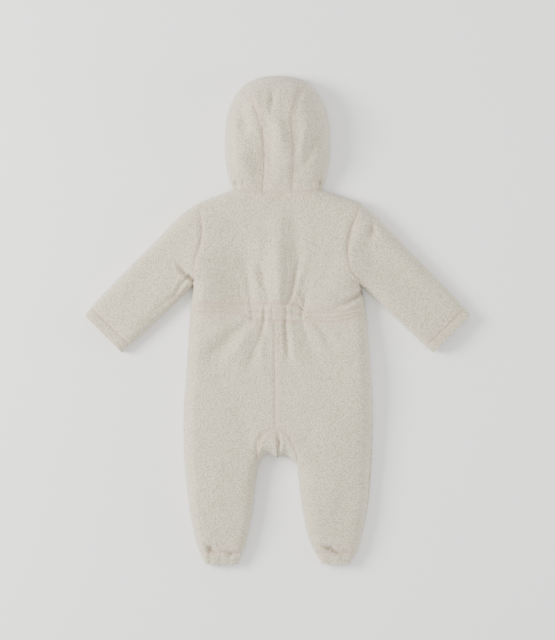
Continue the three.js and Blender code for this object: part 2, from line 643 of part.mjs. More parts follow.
// Half of the gusset. It comes down the back, turns under the crotch and goes up the front.
function gusset(side) {
  const middleFoot = crotch(GUSSET.footX);
  const sideFoot = crotch(signOf(side) * GUSSET.halfWidth);
  const rows = GUSSET_ROWS.map((y, i) => {
    const share = i / GUSSET_ROWS.length;
    const middle = between(inside(GUSSET.topX, GUSSET.topY), middleFoot, share);
    return across(arch(side, y), middle, GUSSET_STEPS).map((p, j) => {
      const foot = crotch(lerp(sideFoot.x, middleFoot.x, GUSSET_STEPS[j]));
      const sag = foot.y - lerp(sideFoot.y, middleFoot.y, GUSSET_STEPS[j]);
      return inside(p.x, p.y + sag * share ** 4);
    });
  });
  const foot = run(sideFoot.x, middleFoot.x, GUSSET_STEPS.length - 1, crotch);
  const under = rows.map((row) => row.map((p) => ({ ...p, under: true }))).reverse();
  return clothPiece([...rows, foot, ...under], tubeFace);
}

// A front in one length from shoulder and neckline to ankle, with its inner border along the zip
function front(side) {
  const [shoulder, corner] = [sleeveEdge(side, "upper", 0), neckCorner(side)];
  const neckSteps = FRONT_STEPS.length - 1 - FRONT_SHOULDER_STEPS;
  const alongShoulder = (share) => ({ ...between(shoulder, corner, share), edge: true });
  const top = [
    ...run(0, 1, FRONT_SHOULDER_STEPS, alongShoulder),
    ...run(0, 1, neckSteps, (share) => {
      const x = lerp(corner.x, zipEdge(side, 0).x, share);
      return inside(x, lerp(corner.y, NECK.frontY, Math.sin((share * Math.PI) / 2)));
    }).slice(1),
  ];
  const seam = armhole(side);
  const armpitRow = across(seam[seam.length - 1], zipEdge(side, armpitY), FRONT_STEPS);
  const zipBorder = ARMHOLE_STEPS.map((share) => zipEdge(side, lerp(NECK.frontY, armpitY, share)));
  const chest = fillGrid(top, armpitRow, seam, zipBorder);
  const belly = FRONT_ROWS.map((y) => across(sideSeam(side, y), zipEdge(side, y), FRONT_STEPS));
  const leg = [...GUSSET_ROWS, GUSSET.footY, ...SHIN_ROWS, ANKLE_ROWS[0]].map((y) => {
    const bellyShare = smoothstep(y, GUSSET.footY, GUSSET_ROWS[0]);
    const shares = FRONT_LEG_STEPS.map((share, j) => lerp(share, FRONT_STEPS[j], bellyShare));
    return across(sideSeam(side, y), innerLeg(side, y), shares);
  });
  return clothPiece([...chest, ...belly, ...leg], frontFace);
}

// A ring of plan points: over the back from one edge to the other, and under the front again
function ring(upper, under) {
  return [...upper, ...under.slice(1, -1).reverse().map((p) => ({ ...p, under: true }))];
}

// A sleeve, one tube from its armhole to the cuff. The armhole's bend fades out along it.
const ARMHOLE_FADE = 0.35;
function sleeve(side) {
  const seam = armhole(side);
  const rows = SLEEVE_STEPS.map((along) => {
    const fade = Math.max(0, 1 - along / ARMHOLE_FADE) ** 2;
    const ends = [sleeveEdge(side, "upper", along), sleeveEdge(side, "lower", along)];
    const line = across(...ends, ARMHOLE_STEPS).map((p, j) => {
      const straight = between(seam[0], seam[seam.length - 1], ARMHOLE_STEPS[j]);
      return { ...p, x: p.x + fade * (seam[j].x - straight.x), y: p.y + fade * (seam[j].y - straight.y) };
    });
    return ring(line, line);
  });
  return clothPiece(rows, tubeFace, { tube: true, seams: ["first"] });
}

function ankleHem(side) {
  const rows = ANKLE_ROWS.map((y) => {
    const ends = [sideSeam(side, y), insideLeg(side, y)];
    return ring(across(...ends, LEG_STEPS), across(...ends, FRONT_LEG_STEPS));
  });
  return clothPiece(rows, tubeFace, { tube: true, seams: ["first"] });
}

// Hood panels. Their seams end at corners on the crown's outline.
function crownCorner(side) {
  const { x } = hoodSeam(side, CROWN_CORNER.y);
  return onEdge(x, hoodTop(x));
}
function hoodSide(side) {
  const sign = signOf(side);
  const rows = HOOD_ROWS.map((row) => {
    const outer = onEdge(sign * hoodHalfWidth(row.outline), row.outline);
    return across(outer, hoodSeam(side, row.seam), HOOD_SIDE_STEPS);
  });
  const corner = crownCorner(side);
  const closing = HOOD_SIDE_STEPS.map((share) => {
    const x = lerp(corner.x + sign * CROWN_CORNER.side, corner.x, share);
    return onEdge(x, hoodTop(x));
  });
  return clothPiece([neckSide(side), ...rows, closing], backFace);
}
function hoodMiddle() {
  const [left, right] = [crownCorner("left"), crownCorner("right")];
  const crown = run(left.x, right.x, HOOD_MIDDLE_STEPS, (x) => onEdge(x, hoodTop(x)));
  const rows = HOOD_ROWS.map(({ seam }) =>
    crown.map((top, j) => {
      const share = j / HOOD_MIDDLE_STEPS;
      const p = between(hoodSeam("left", seam), hoodSeam("right", seam), share);
      const chord = lerp(left.y, right.y, share);
      const follow = Math.max(0, (seam - CROWN_FROM_Y) / (chord - CROWN_FROM_Y));
      return inside(p.x, p.y + follow * (top.y - chord));
    }),
  );
  return clothPiece([neckMiddle(), ...rows, crown], backFace);
}

// The hood's elasticated hem, turned under round the face.
function hoodHem() {
  const rows = hoodLoop(HOOD_HEM.steps, HOOD_HEM.shortOfNeck).map((p) => {
    const { inX, inY } = fromOutline(p);
    const lip = inside(p.x + HOOD_HEM.width * inX, p.y + HOOD_HEM.width * inY);
    return across(p, lip, HOOD_HEM_STEPS);
  });
  return clothPiece(rows, frontFace, { seams: ["first", "last"] });
}

function block([x0, x1], [y0, y1], [z0, z1]) {
  const made = new THREE.BoxGeometry(x1 - x0, y1 - y0, z1 - z0);
  return made.translate((x0 + x1) / 2, (y0 + y1) / 2, (z0 + z1) / 2);
}

const wasm = await Module();
wasm.setup();

// Several closed geometries joined into one.
function joined(geometries) {
  const solids = geometries.map((source) => {
    const bare = new THREE.BufferGeometry();
    bare.setAttribute("position", source.toNonIndexed().getAttribute("position"));
    const merged = mergeVertices(bare);
    const vertProperties = merged.attributes.position.array;
    const triVerts = new Uint32Array(merged.index.array);
    return new wasm.Manifold(new wasm.Mesh({ numProp: 3, vertProperties, triVerts }));
  });
  const mesh = solids.reduce((whole, solid) => whole.add(solid)).getMesh();
  const geometry = new THREE.BufferGeometry();
  geometry.setAttribute("position", new THREE.BufferAttribute(mesh.vertProperties, 3));
  return geometry.setIndex(new THREE.BufferAttribute(mesh.triVerts, 1));
}

function zipTape(side) {
  const sign = signOf(side);
  const xs = [ZIP.x + sign * TAPE.inset, ZIP.x + sign * (TAPE.inset + TAPE.width)];
  const z = CLOTH + SEAM_GAP;
  return block(xs.sort((a, b) => a - b), [ZIP.footY, ZIP.topY + TAPE.overTop], [z, z + TAPE.thickness]);
}
function zipChain() {
  const xs = [ZIP.x - CHAIN.halfWidth, ZIP.x + CHAIN.halfWidth];
  return block(xs, [ZIP.footY, ZIP.topY], [CHAIN.z, CHAIN.z + CHAIN.thickness]);
}

// Slider: a plate on each side of the chain, joined by a post at its end, and a crown for the pull
const lowerPlateZ = CHAIN.z - SLIDER.clearance - SLIDER.plate;
const upperPlateZ = CHAIN.z + CHAIN.thickness + SLIDER.clearance;
const pullHinge = new THREE.Vector3(ZIP.x, SLIDER.y, lowerPlateZ - CROWN.headroom / 2);
function zipSlider() {
  const width = [ZIP.x - SLIDER.halfWidth, ZIP.x + SLIDER.halfWidth];
  const length = [SLIDER.y - SLIDER.halfLength, SLIDER.y + SLIDER.halfLength];
  const plate = (z) => block(width, length, [z, z + SLIDER.plate]);
  const postWidth = [ZIP.x - SLIDER.postHalfWidth, ZIP.x + SLIDER.postHalfWidth];
  const postLength = [ZIP.topY + SLIDER.clearance, length[1]];
  const crownWidth = [ZIP.x - CROWN.halfWidth, ZIP.x + CROWN.halfWidth];
  const crownFoot = lowerPlateZ - CROWN.headroom - CROWN.bar;
  const [y0, y1] = [SLIDER.y - CROWN.halfSpan, SLIDER.y + CROWN.halfSpan];
  const rise = [crownFoot, lowerPlateZ + SLIDER.plate];
  return joined([
    plate(lowerPlateZ),
    plate(upperPlateZ),
    block(postWidth, postLength, [lowerPlateZ, upperPlateZ + SLIDER.plate]),
    block(crownWidth, [y0, y1], [crownFoot, crownFoot + CROWN.bar]),
    block(crownWidth, [y0, y0 + CROWN.bar], rise),
    block(crownWidth, [y1 - CROWN.bar, y1], rise),
  ]);
}

// Pull tab about its hinge, lying towards the feet. Its slot passes round the crown.
function zipPull() {
  const { halfWidth, thickness, crossbar, slot, slotHalfWidth, length } = PULL;
  const top = crossbar / 2;
  const foot = top - length;
  const shape = new THREE.Shape();
  shape.moveTo(-halfWidth, top);
  shape.lineTo(-halfWidth, foot + halfWidth);
  shape.absarc(0, foot + halfWidth, halfWidth, Math.PI, 2 * Math.PI, false);
  shape.lineTo(halfWidth, top);
  const hole = new THREE.Path();
  hole.moveTo(-slotHalfWidth, top - crossbar);
  hole.lineTo(slotHalfWidth, top - crossbar);
  hole.lineTo(slotHalfWidth, top - crossbar - slot);
  hole.lineTo(-slotHalfWidth, top - crossbar - slot);
  shape.holes.push(hole);
  const options = { depth: thickness, bevelEnabled: false, curveSegments: 10 };
  return new THREE.ExtrudeGeometry(shape, options).translate(0, 0, -thickness / 2);
}

const suit = new THREE.Group();
function add(name, geometry, finish, position = new THREE.Vector3()) {
  const mesh = new THREE.Mesh(geometry, new THREE.MeshStandardMaterial(finish));
  mesh.name = name;
  mesh.position.copy(position);
  suit.add(mesh);
}

add("back_bodice", backBodice(), FLEECE);
add("waist_casing_back", waistCasing(), FLEECE);
add("hood_centre", hoodMiddle(), FLEECE);
add("hood_face_hem", hoodHem(), FLEECE);
for (const side of ["left", "right"]) {
  add(`trouser_back_${side}`, backLeg(side), FLEECE);
  add(`gusset_${side}`, gusset(side), FLEECE);
  add(`sleeve_${side}`, sleeve(side), FLEECE);
  add(`hood_side_${side}`, hoodSide(side), FLEECE);
  add(`front_${side}`, front(side), FLEECE);
  add(`ankle_hem_${side}`, ankleHem(side), FLEECE);
  add(`zip_tape_${side}`, zipTape(side), ZIP_TAPE);
}
add("zip_chain", zipChain(), ZIP_PLASTIC);
add("zip_slider", zipSlider(), ZIP_METAL);
add("zip_pull_tab", zipPull(), ZIP_METAL, pullHinge);

export default suit;
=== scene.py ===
"""A baby's hooded snowsuit in ivory sherpa fleece, laid out flat on its front with its back upwards.

The frame's solids give each cut piece of cloth its place and size. Here each piece gets the thick pile of
its fleece, its creases and gathers, its sewing and its colour, and the zip gets its teeth and its tapes.
"""

import json
import math
from collections import namedtuple

import bmesh
import bpy
import numpy as np
from bpy.props import FloatProperty, FloatVectorProperty, IntProperty, PointerProperty
from mathutils import Matrix, Vector, noise
from mathutils.bvhtree import BVHTree
from mathutils.kdtree import KDTree

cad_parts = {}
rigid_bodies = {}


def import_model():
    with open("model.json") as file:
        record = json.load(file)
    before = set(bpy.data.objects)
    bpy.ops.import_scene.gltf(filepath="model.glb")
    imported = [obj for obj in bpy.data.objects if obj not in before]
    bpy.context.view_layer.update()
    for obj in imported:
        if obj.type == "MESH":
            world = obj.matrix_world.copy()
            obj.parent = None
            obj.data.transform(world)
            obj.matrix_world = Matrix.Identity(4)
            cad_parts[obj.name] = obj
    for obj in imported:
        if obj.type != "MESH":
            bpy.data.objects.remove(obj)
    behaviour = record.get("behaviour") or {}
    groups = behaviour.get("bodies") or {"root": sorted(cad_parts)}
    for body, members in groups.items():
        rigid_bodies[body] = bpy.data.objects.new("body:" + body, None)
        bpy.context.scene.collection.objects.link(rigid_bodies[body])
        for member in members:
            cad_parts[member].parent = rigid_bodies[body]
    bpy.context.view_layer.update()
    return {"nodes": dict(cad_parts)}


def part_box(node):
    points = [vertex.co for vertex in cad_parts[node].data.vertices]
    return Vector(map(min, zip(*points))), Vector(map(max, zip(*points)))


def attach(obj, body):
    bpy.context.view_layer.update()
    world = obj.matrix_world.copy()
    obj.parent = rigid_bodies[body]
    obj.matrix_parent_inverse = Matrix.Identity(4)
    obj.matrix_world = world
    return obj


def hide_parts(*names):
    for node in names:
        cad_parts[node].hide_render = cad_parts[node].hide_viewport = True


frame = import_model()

bl_info = {
    "name": "Baby Snowsuit",
    "version": (1, 0, 0),
    "blender": (4, 5, 0),
    "location": "3D View > Sidebar > Snowsuit",
    "description": "Makes a hooded fleece snowsuit, piece by piece, round a fixed frame",
    "category": "Object",
}

MM = 0.001
SUIT = "suit"

Cut = namedtuple("Cut", "node width length area")
Crease = namedtuple("Crease", "name line depths half_widths")
StitchLine = namedtuple("StitchLine", "name line")
Side = namedtuple("Side", "name way creases stitches")
Light = namedtuple("Light", "name power side place tint")

# The cut of what shows of each piece, all round on a tube: width and length in metres, area in square metres
BODICE = [Cut("back_bodice", 0.300, 0.205, 0.0500), Cut("waist_casing_back", 0.300, 0.030, 0.0072)]
HOOD = [
    Cut("hood_centre", 0.080, 0.215, 0.0134),
    Cut("hood_side_left", 0.098, 0.210, 0.0140),
    Cut("hood_side_right", 0.098, 0.210, 0.0148),
    Cut("hood_face_hem", 0.030, 0.500, 0.0126),
]
SLEEVES = [Cut("sleeve_left", 0.240, 0.215, 0.0450), Cut("sleeve_right", 0.240, 0.222, 0.0470)]
LEGS = [
    Cut("trouser_back_left", 0.185, 0.395, 0.0560),
    Cut("trouser_back_right", 0.185, 0.395, 0.0570),
    Cut("gusset_left", 0.038, 0.150, 0.0038),
    Cut("gusset_right", 0.038, 0.150, 0.0038),
    Cut("ankle_hem_left", 0.140, 0.026, 0.0032),
    Cut("ankle_hem_right", 0.140, 0.026, 0.0031),
]
FRONTS = [Cut("front_left", 0.165, 0.590, 0.0720), Cut("front_right", 0.165, 0.590, 0.0750)]

# Creases in the back of the cloth, in millimetres. Depths and half widths run from one end of the line to the
# other, and a ridge has depths below zero.
BACK_CREASES = [
    Crease("hollow left of the spine", [(-62, 132), (-58, 86), (-58, 40)], (3.0, 11.0, 12.5), (26, 32, 32)),
    Crease(
        "valley to the left gather",
        [(-53, 120), (-48, 72), (-42, 35), (-44, 24)],
        (0.6, 1.6, 2.4, 1.4),
        (11, 8, 5, 3),
    ),
    Crease("ridge left of the spine", [(-42, 106), (-35, 64), (-29, 36)], (0, -1.8, -1.8), (6, 5, 4)),
    Crease(
        "valley left of the spine",
        [(-25, 98), (-21, 58), (-14, 32), (-16, 24)],
        (0, 3.4, 3.0, 1.6),
        (7, 6, 4, 3),
    ),
    Crease("ridge along the spine", [(4, 158), (2, 92), (4, 36)], (-2.6, -4.0, -3.4), (12, 10.5, 7)),
    Crease(
        "valley right of the spine",
        [(30, 158), (33, 93), (25, 52), (17, 28)],
        (1.8, 3.0, 4.6, 2.8),
        (10, 8.5, 4.6, 3.2),
    ),
    Crease("ridge right of the spine", [(40, 88), (34, 56), (29, 32)], (0, -1.8, -1.4), (7, 6, 5)),
    Crease(
        "valley to the right gather",
        [(66, 98), (54, 62), (46, 38), (38, 5)],
        (0, 1.4, 3.0, 1.8),
        (9, 7, 5, 3),
    ),
    Crease("ridge to the shoulder blade", [(90, 136), (60, 76), (50, 36)], (-0.6, -1.0, -0.6), (12, 9, 5)),
    Crease("valley under the shoulder blade", [(96, 96), (66, 58), (48, 24)], (0, 1.5, 1.0), (8, 7, 5)),
    Crease("ridge over the right hip", [(112, 72), (84, 44), (58, 20)], (0, -1.2, -0.6), (9, 8, 6)),
    Crease("pucker 1", [(-41, 20), (-40, 8), (-41, -2)], (0.6, 1.6, 2.0), (2.6, 2.6, 3)),
    Crease("pucker 2", [(-31, 24), (-31, 12), (-32, 4)], (0.4, 1.2, 0.4), (2.6, 2.6, 2.6)),
    Crease("pucker 3", [(-20, 24), (-20, 8), (-21, -2)], (1.4, 2.4, 3.0), (3, 3, 3)),
    Crease("pucker 4", [(-8, 26), (-8, 12), (-8, 0)], (0.4, 1.2, 0.6), (2.6, 2.6, 2.6)),
    Crease("pucker 5", [(13, 24), (14, 12), (12, 0)], (1.8, 1.6, 2.4), (3, 2.8, 3)),
    Crease("pucker 6", [(24, 24), (24, 12), (24, 2)], (0.4, 1.2, 0.8), (2.6, 2.6, 2.6)),
    Crease(
        "valley left of the middle seam",
        [(-20, -4), (-24, -16), (-38, -51), (-46, -90)],
        (2.6, 2.8, 4.4, 0.6),
        (3, 4.6, 8, 12),
    ),
    Crease("ridge to the left hip", [(-36, -8), (-56, -34), (-76, -66)], (-1.8, -4.2, -1.2), (5, 7, 10)),
    Crease(
        "valley to the left hip",
        [(-48, -4), (-67, -20), (-92, -46), (-120, -74)],
        (1.8, 6.8, 5.4, 1.0),
        (4, 10, 13, 14),
    ),
    Crease("hollow beside the middle seam", [(-18, -16), (-14, -54)], (1.2, 0.2), (6, 6)),
    Crease(
        "valley right of the middle seam",
        [(12, -3), (13, -16), (16, -40), (20, -78)],
        (2.2, 3.0, 3.0, 0.4),
        (3, 3.4, 4.6, 8),
    ),
    Crease("ridge right of the middle seam", [(22, -8), (26, -42), (33, -84)], (-2.0, -2.6, 0), (5, 6, 10)),
    Crease("drag on the right hip", [(62, -8), (78, -26), (88, -40)], (1.6, 3.0, 0.6), (4, 6, 7)),
    Crease("hollow of the right hip", [(48, -36), (84, -84)], (0.9, 0.6), (15, 18)),
    Crease(
        "left armpit fold",
        [(-166, 94), (-160, 89), (-149, 77), (-134, 64)],
        (0.8, 5.0, 6.0, 7.0),
        (4.4, 4, 3.8, 3.6),
    ),
    Crease(
        "left sleeve's under fold",
        [(-140, 69), (-153, 57), (-164, 38), (-188, 22), (-220, -16)],
        (3.6, 2.6, 1.4, 0.8, 0.2),
        (3, 3.4, 4, 5, 6),
    ),
    Crease("left armpit pull", [(-176, 108), (-170, 84), (-160, 70)], (0, 1.0, 0.6), (5, 5, 5)),
    Crease("left armhole", [(-127, 172), (-118, 134), (-127, 105)], (0.4, 1.4, 0.6), (4, 4, 4)),
    Crease(
        "right armpit fold",
        [(136, 46), (118, 32), (94, 20), (78, 10)],
        (8.0, 6.6, 2.8, 0),
        (4.2, 4.4, 4.8, 5),
    ),
    Crease("right armpit tuck", [(125, 40), (128, 26), (125, 12)], (3.0, 2.0, 0.6), (3, 3, 3)),
    Crease("right armhole", [(126, 168), (117, 136), (111, 108)], (0.8, 3.0, 2.0), (5, 7, 5)),
    Crease("right sleeve's dimple", [(153, 162), (150, 142), (147, 126)], (1.0, 5.6, 1.4), (5, 6.5, 7)),
    Crease("right sleeve's slack", [(146, 108), (195, 63), (230, 28)], (1.6, 2.4, 0.4), (15, 13, 14)),
    Crease("left sleeve's slack", [(-150, 138), (-190, 92), (-232, 38)], (0.2, 1.2, 0.2), (14, 14, 14)),
    Crease("left elbow", [(-186, 74), (-206, 52), (-222, 40)], (0, 1.0, 0), (8, 8, 8)),
    Crease("shoulder blade, left", [(-96, 158), (-62, 150), (-36, 156)], (0, 0.9, 0), (12, 12, 12)),
    Crease("shoulder blade, right", [(34, 160), (66, 142), (98, 150)], (0, 1.0, 0), (12, 12, 12)),
    Crease("hood's left hollow", [(-58, 342), (-49, 308), (-36, 280)], (1.0, 5.2, 1.8), (6, 11, 10)),
    Crease(
        "hood's left seam",
        [(-33, 334), (-22, 304), (-18, 272), (-21, 214)],
        (2.0, 7.4, 10.6, 2.4),
        (6, 13, 19, 10),
    ),
    Crease("hood's left puff", [(-68, 322), (-68, 280), (-60, 238)], (-1.2, -4.6, -0.8), (11, 13, 11)),
    Crease("hood's left ridge", [(-40, 366), (-30, 334), (-25, 314)], (-1.0, -2.0, -0.4), (6, 5, 4)),
    Crease("dip in the crown", [(-7, 370), (-8, 347), (-13, 329)], (0.6, 3.6, 0.4), (4.5, 5, 4.5)),
    Crease("hood's middle ridge", [(1, 330), (3, 288), (3, 240)], (-1.0, -4.8, -1.4), (9, 11, 9)),
    Crease("hood's middle hollow", [(14, 324), (16, 290), (15, 250)], (0.4, 0.6, 0.2), (6, 6, 6)),
    Crease(
        "hood's right seam",
        [(41, 372), (32, 346), (27, 312), (28, 256), (24, 210)],
        (2.6, 2.4, 2.4, 2.0, 1.0),
        (4, 5, 8, 8, 4),
    ),
    Crease("hood's right ridge", [(48, 334), (46, 300), (36, 256)], (-0.6, -4.4, -2.0), (7, 8, 7)),
    Crease("hood's right hollow", [(72, 322), (60, 290), (47, 256)], (0.2, 4.4, 3.2), (9, 9, 6)),
    Crease(
        "tuck at the neck, left",
        [(-72, 222), (-68, 218), (-66, 212)],
        (2.0, 9.0, 4.0),
        (3.4, 4.6, 3.8),
    ),
    Crease("tuck at the neck, right", [(68, 226), (67, 219), (67, 211)], (1.0, 7.0, 4.0), (3.2, 3.8, 3.4)),
    Crease("pull to the right tuck", [(44, 213), (56, 219), (66, 224)], (0.2, 1.4, 1.8), (3.4, 3.4, 3.4)),
    Crease("gusset's left arm", [(-24, -181), (-33, -196), (-35, -216)], (1.6, 2.0, 1.4), (3.4, 3.4, 3.4)),
    Crease("gusset's middle", [(1, -178), (3, -196), (2, -214)], (1.6, 4.8, 2.2), (2.6, 2.8, 2.8)),
    Crease(
        "drag from the crotch, left",
        [(-38, -212), (-50, -180), (-58, -146)],
        (1.0, 1.2, 0),
        (7, 8, 10),
    ),
    Crease("drag from the crotch, right", [(36, -214), (48, -184), (62, -156)], (0.6, 0.8, 0), (7, 8, 10)),
    Crease("left thigh's slack", [(-92, -150), (-84, -206), (-66, -262)], (0, 0.9, 0.2), (16, 16, 14)),
    Crease("left calf's slack", [(-70, -290), (-64, -330), (-68, -352)], (0, 1.4, 0.6), (12, 12, 8)),
    Crease("right calf's slack", [(124, -262), (106, -302), (84, -330)], (0.2, 1.8, 0.4), (14, 13, 12)),
    Crease("left ankle tuck 1", [(-115, -359), (-106, -365), (-98, -372)], (1.4, 8.0, 2.4), (3.4, 5, 3.4)),
    Crease("left ankle tuck 2", [(-82, -370), (-76, -373), (-64, -374)], (1.0, 6.0, 2.8), (3, 3.6, 3)),
    Crease("left ankle pucker 1", [(-108, -370), (-107, -388)], (1.0, 0.6), (3, 3)),
    Crease("left ankle pucker 2", [(-91, -372), (-91, -388)], (0.6, 0.4), (3, 3)),
    Crease("left ankle pucker 3", [(-74, -374), (-76, -388)], (0.8, 0.6), (3, 3)),
    Crease(
        "right ankle tuck",
        [(64, -361), (86, -365), (96, -371), (118, -378)],
        (1.0, 8.4, 5.4, 2.0),
        (3, 4, 3.6, 3),
    ),
    Crease("right ankle fold", [(60, -360), (74, -358), (88, -363)], (0.8, 2.6, 2.0), (3.2, 3.2, 3.2)),
    Crease("right ankle pucker 1", [(86, -372), (87, -388)], (0.8, 0.6), (3, 3)),
    Crease("right ankle pucker 2", [(102, -376), (100, -388)], (1.2, 0.6), (3, 3)),
    Crease(
        "swell under the shoulder blade",
        [(118, 98), (108, 66), (90, 34)],
        (-2.0, -6.4, -7.6),
        (24, 28, 28),
    ),
    Crease(
        "valley to the right hip",
        [(38, -4), (45, -22), (56, -52), (66, -80)],
        (1.2, 3.4, 2.4, 0.2),
        (4, 8, 11, 12),
    ),
    Crease(
        "left leg's inner slope",
        [(-60, -110), (-50, -180), (-50, -250), (-60, -330)],
        (0, 3.0, 5.0, 1.6),
        (20, 24, 26, 20),
    ),
    Crease(
        "right leg's outer slope",
        [(150, -90), (150, -170), (144, -250), (132, -330)],
        (0, 5.4, 9.0, 4.0),
        (24, 32, 34, 28),
    ),
    Crease(
        "right sleeve's fold below it",
        [(146, 126), (142, 108), (150, 90)],
        (1.0, 2.0, 0.4),
        (12, 13, 13),
    ),
]
FRONT_CREASES = [
    Crease("front waist, left", [(-96, 20), (-60, 14), (-24, 18)], (0, 1.6, 0), (7, 7, 6)),
    Crease("front waist, right", [(20, 16), (58, 12), (98, 22)], (0, 1.6, 0), (7, 7, 6)),
    Crease("front hip, left", [(-110, -60), (-84, -84), (-60, -120)], (0, 1.4, 0), (10, 9, 10)),
    Crease("front hip, right", [(112, -64), (86, -90), (58, -124)], (0, 1.4, 0), (10, 9, 10)),
    Crease("front chest, left", [(-110, 70), (-92, 104), (-88, 140)], (0.4, 1.3, 0), (9, 9, 9)),
    Crease("front chest, right", [(100, 66), (88, 100), (84, 138)], (0.4, 1.3, 0), (9, 9, 9)),
    Crease("front knee, left", [(-120, -240), (-94, -252), (-66, -246)], (0, 1.3, 0), (9, 8, 9)),
    Crease("front knee, right", [(122, -238), (96, -254), (68, -250)], (0, 1.3, 0), (9, 8, 9)),
]

# Rows of topstitching, in millimetres. Each dents the pile that it holds down.
BACK_STITCHES = [
    StitchLine("casing top", [(-46, 25.5), (-10, 25.5), (20, 25), (37, 20)]),
    StitchLine("casing middle", [(-44, 13.5), (-10, 12.5), (20, 11.5), (40, 9.5)]),
    StitchLine("casing foot", [(-44, 2.5), (-10, 0.8), (20, -1.6), (42, -2)]),
    StitchLine("casing side, left", [(-130, 22.5), (-90, 20.5), (-52, 17)]),
    StitchLine("casing side, right", [(46, 3.5), (90, 3), (132, 12)]),
    StitchLine("cuff, left", [(-293.5, 16), (-266, -10.5), (-239.5, -36.5)]),
    StitchLine("cuff, right", [(296, 15.5), (270, -10), (244, -35.5)]),
    StitchLine("ankle, left", [(-118, -369), (-90, -369.5), (-60, -369)]),
    StitchLine("ankle, right", [(64, -369), (94, -369.5), (121, -369)]),
]
# The zip's middle and ends, and how far its stitches lie from the middle, in millimetres
ZIP_X = -4.5
ZIP_TOP = 180
ZIP_FOOT = -164
ZIP_STITCH_OFFSET = 11
FRONT_STITCHES = [
    StitchLine("zip, left", [(ZIP_X - ZIP_STITCH_OFFSET, ZIP_TOP), (ZIP_X - ZIP_STITCH_OFFSET, ZIP_FOOT)]),
    StitchLine("zip, right", [(ZIP_X + ZIP_STITCH_OFFSET, ZIP_TOP), (ZIP_X + ZIP_STITCH_OFFSET, ZIP_FOOT)]),
    StitchLine("cuff, left", [(-291, 14.5), (-243, -33.5)]),
    StitchLine("cuff, right", [(291, 14.5), (243, -33.5)]),
    StitchLine("ankle, left", [(-116, -369), (-62, -369)]),
    StitchLine("ankle, right", [(66, -369), (119, -369)]),
]
# The suit's back, which faces up, and its front, which faces down
SIDES = [Side("back", 1, BACK_CREASES, BACK_STITCHES), Side("front", -1, FRONT_CREASES, FRONT_STITCHES)]

# Square lights that look at the suit's middle: the setting that holds a light's power, its side and its place
# in metres, and its tint
LIGHTS = [
    Light("key", "key_power", 1.2, (-2.4, 0.3, 1.65), "#fffdf9"),
    Light("top", "top_power", 2.4, (0, 0.2, 3.4), "#ffffff"),
    Light("edge", "edge_power", 1.0, (2.6, -0.2, 0.65), "#ffffff"),
]
FLOOR_HALF_SIDE = 8.0  # metres
FARTHEST_VIEW = 50.0  # metres


def linear(code):
    """Linear colour of an sRGB hex code such as #d8d2c5."""
    parts = [int(code[i : i + 2], 16) / 255 for i in (1, 3, 5)]
    return [c / 12.92 if c <= 0.04045 else ((c + 0.055) / 1.055) ** 2.4 for c in parts]


def colour(name, description, code):
    """A colour property with an sRGB hex code as its default."""
    return FloatVectorProperty(
        name=name, description=description, subtype="COLOR", min=0, max=1, default=linear(code)
    )


def length(name, description, millimetres):
    """A length property with its default in millimetres."""
    return FloatProperty(
        name=name, description=description, unit="LENGTH", default=millimetres * MM, precision=5
    )


class SnowsuitFleece(bpy.types.PropertyGroup):
    """The fleece: its pile, its colours and how finely it is modelled"""

    tip: colour("Pile tips", "Colour of the curled ends of the pile", "#e7dfc6")
    # The roots' colour is the pile's own warmer tone, darkened with painted shade between the curls
    root: colour("Pile roots", "Colour of the pile's roots between its curls", "#bfb497")
    seam: colour("Seams", "Colour of the pile where it is sewn down", "#d3bba6")
    # Painted shade in tight folds: this dark colour is mixed in where a fold is deep
    fold: colour("Folds", "Colour of the pile's roots where a tight fold parts them", "#ab9a80")
    nub_size: length("Nub size", "Width of one curled nub of the pile", 2.3)
    nub_height: length("Nub height", "How far a nub stands above its roots", 0.75)
    clump_size: length("Clump size", "Width of a clump of nubs", 7.5)
    clump_height: length("Clump height", "How far clumps rise and fall", 0.5)
    seam_depth: length("Seam depth", "How far a seam sinks into the pile", 1.3)
    seam_width: length("Seam half width", "Half width of the hollow along a seam", 2.6)
    levels: IntProperty(
        name="Fineness", description="Subdivisions of the cloth that shows", default=3, min=1, max=3
    )
    hidden_levels: IntProperty(
        name="Fineness below", description="Subdivisions of the cloth underneath", default=2, min=1, max=3
    )


class SnowsuitSewing(bpy.types.PropertyGroup):
    """The sewing thread and its stitches"""

    thread: colour("Thread", "Colour of the sewing thread", "#d6cfbf")
    stitch: length("Stitch length", "Length of one stitch with its gap", 3.4)
    thickness: length("Thread thickness", "Thickness of the sewing thread", 0.55)
    dent: length("Stitch dent", "How far a row of stitches sinks into the pile", 1.7)
    dent_width: length("Dent half width", "Half width of the dent along a row of stitches", 2.1)


class SnowsuitZip(bpy.types.PropertyGroup):
    """The zip's teeth, tapes and metal"""

    tooth_pitch: length("Tooth pitch", "Distance from one tooth to the next in a row", 2.6)
    tooth_width: length("Tooth width", "Width of a tooth across the zip", 2.5)
    plastic: colour("Teeth", "Colour of the moulded teeth", "#e0dacb")
    tape: colour("Tape", "Colour of the woven tapes", "#d3ccbb")
    metal: colour("Slider", "Colour of the plated slider and pull tab", "#c4c2bc")


class SnowsuitStage(bpy.types.PropertyGroup):
    """The floor, the lights and the camera"""

    floor: colour("Floor", "Colour of the floor", "#fdfdfc")
    key_power: FloatProperty(
        name="Key light", description="Power of the light on the left", unit="POWER", default=138
    )
    top_power: FloatProperty(
        name="Top light", description="Power of the light above", unit="POWER", default=22
    )
    edge_power: FloatProperty(
        name="Edge light", description="Power of the low light on the right", unit="POWER", default=30
    )
    surround: FloatProperty(name="Surround", description="Strength of the light from all round", default=0.93)
    view_height: length("View height", "Height of floor that the camera sees", 1024)
    camera_height: length("Camera height", "Height of the camera above the floor", 6000)


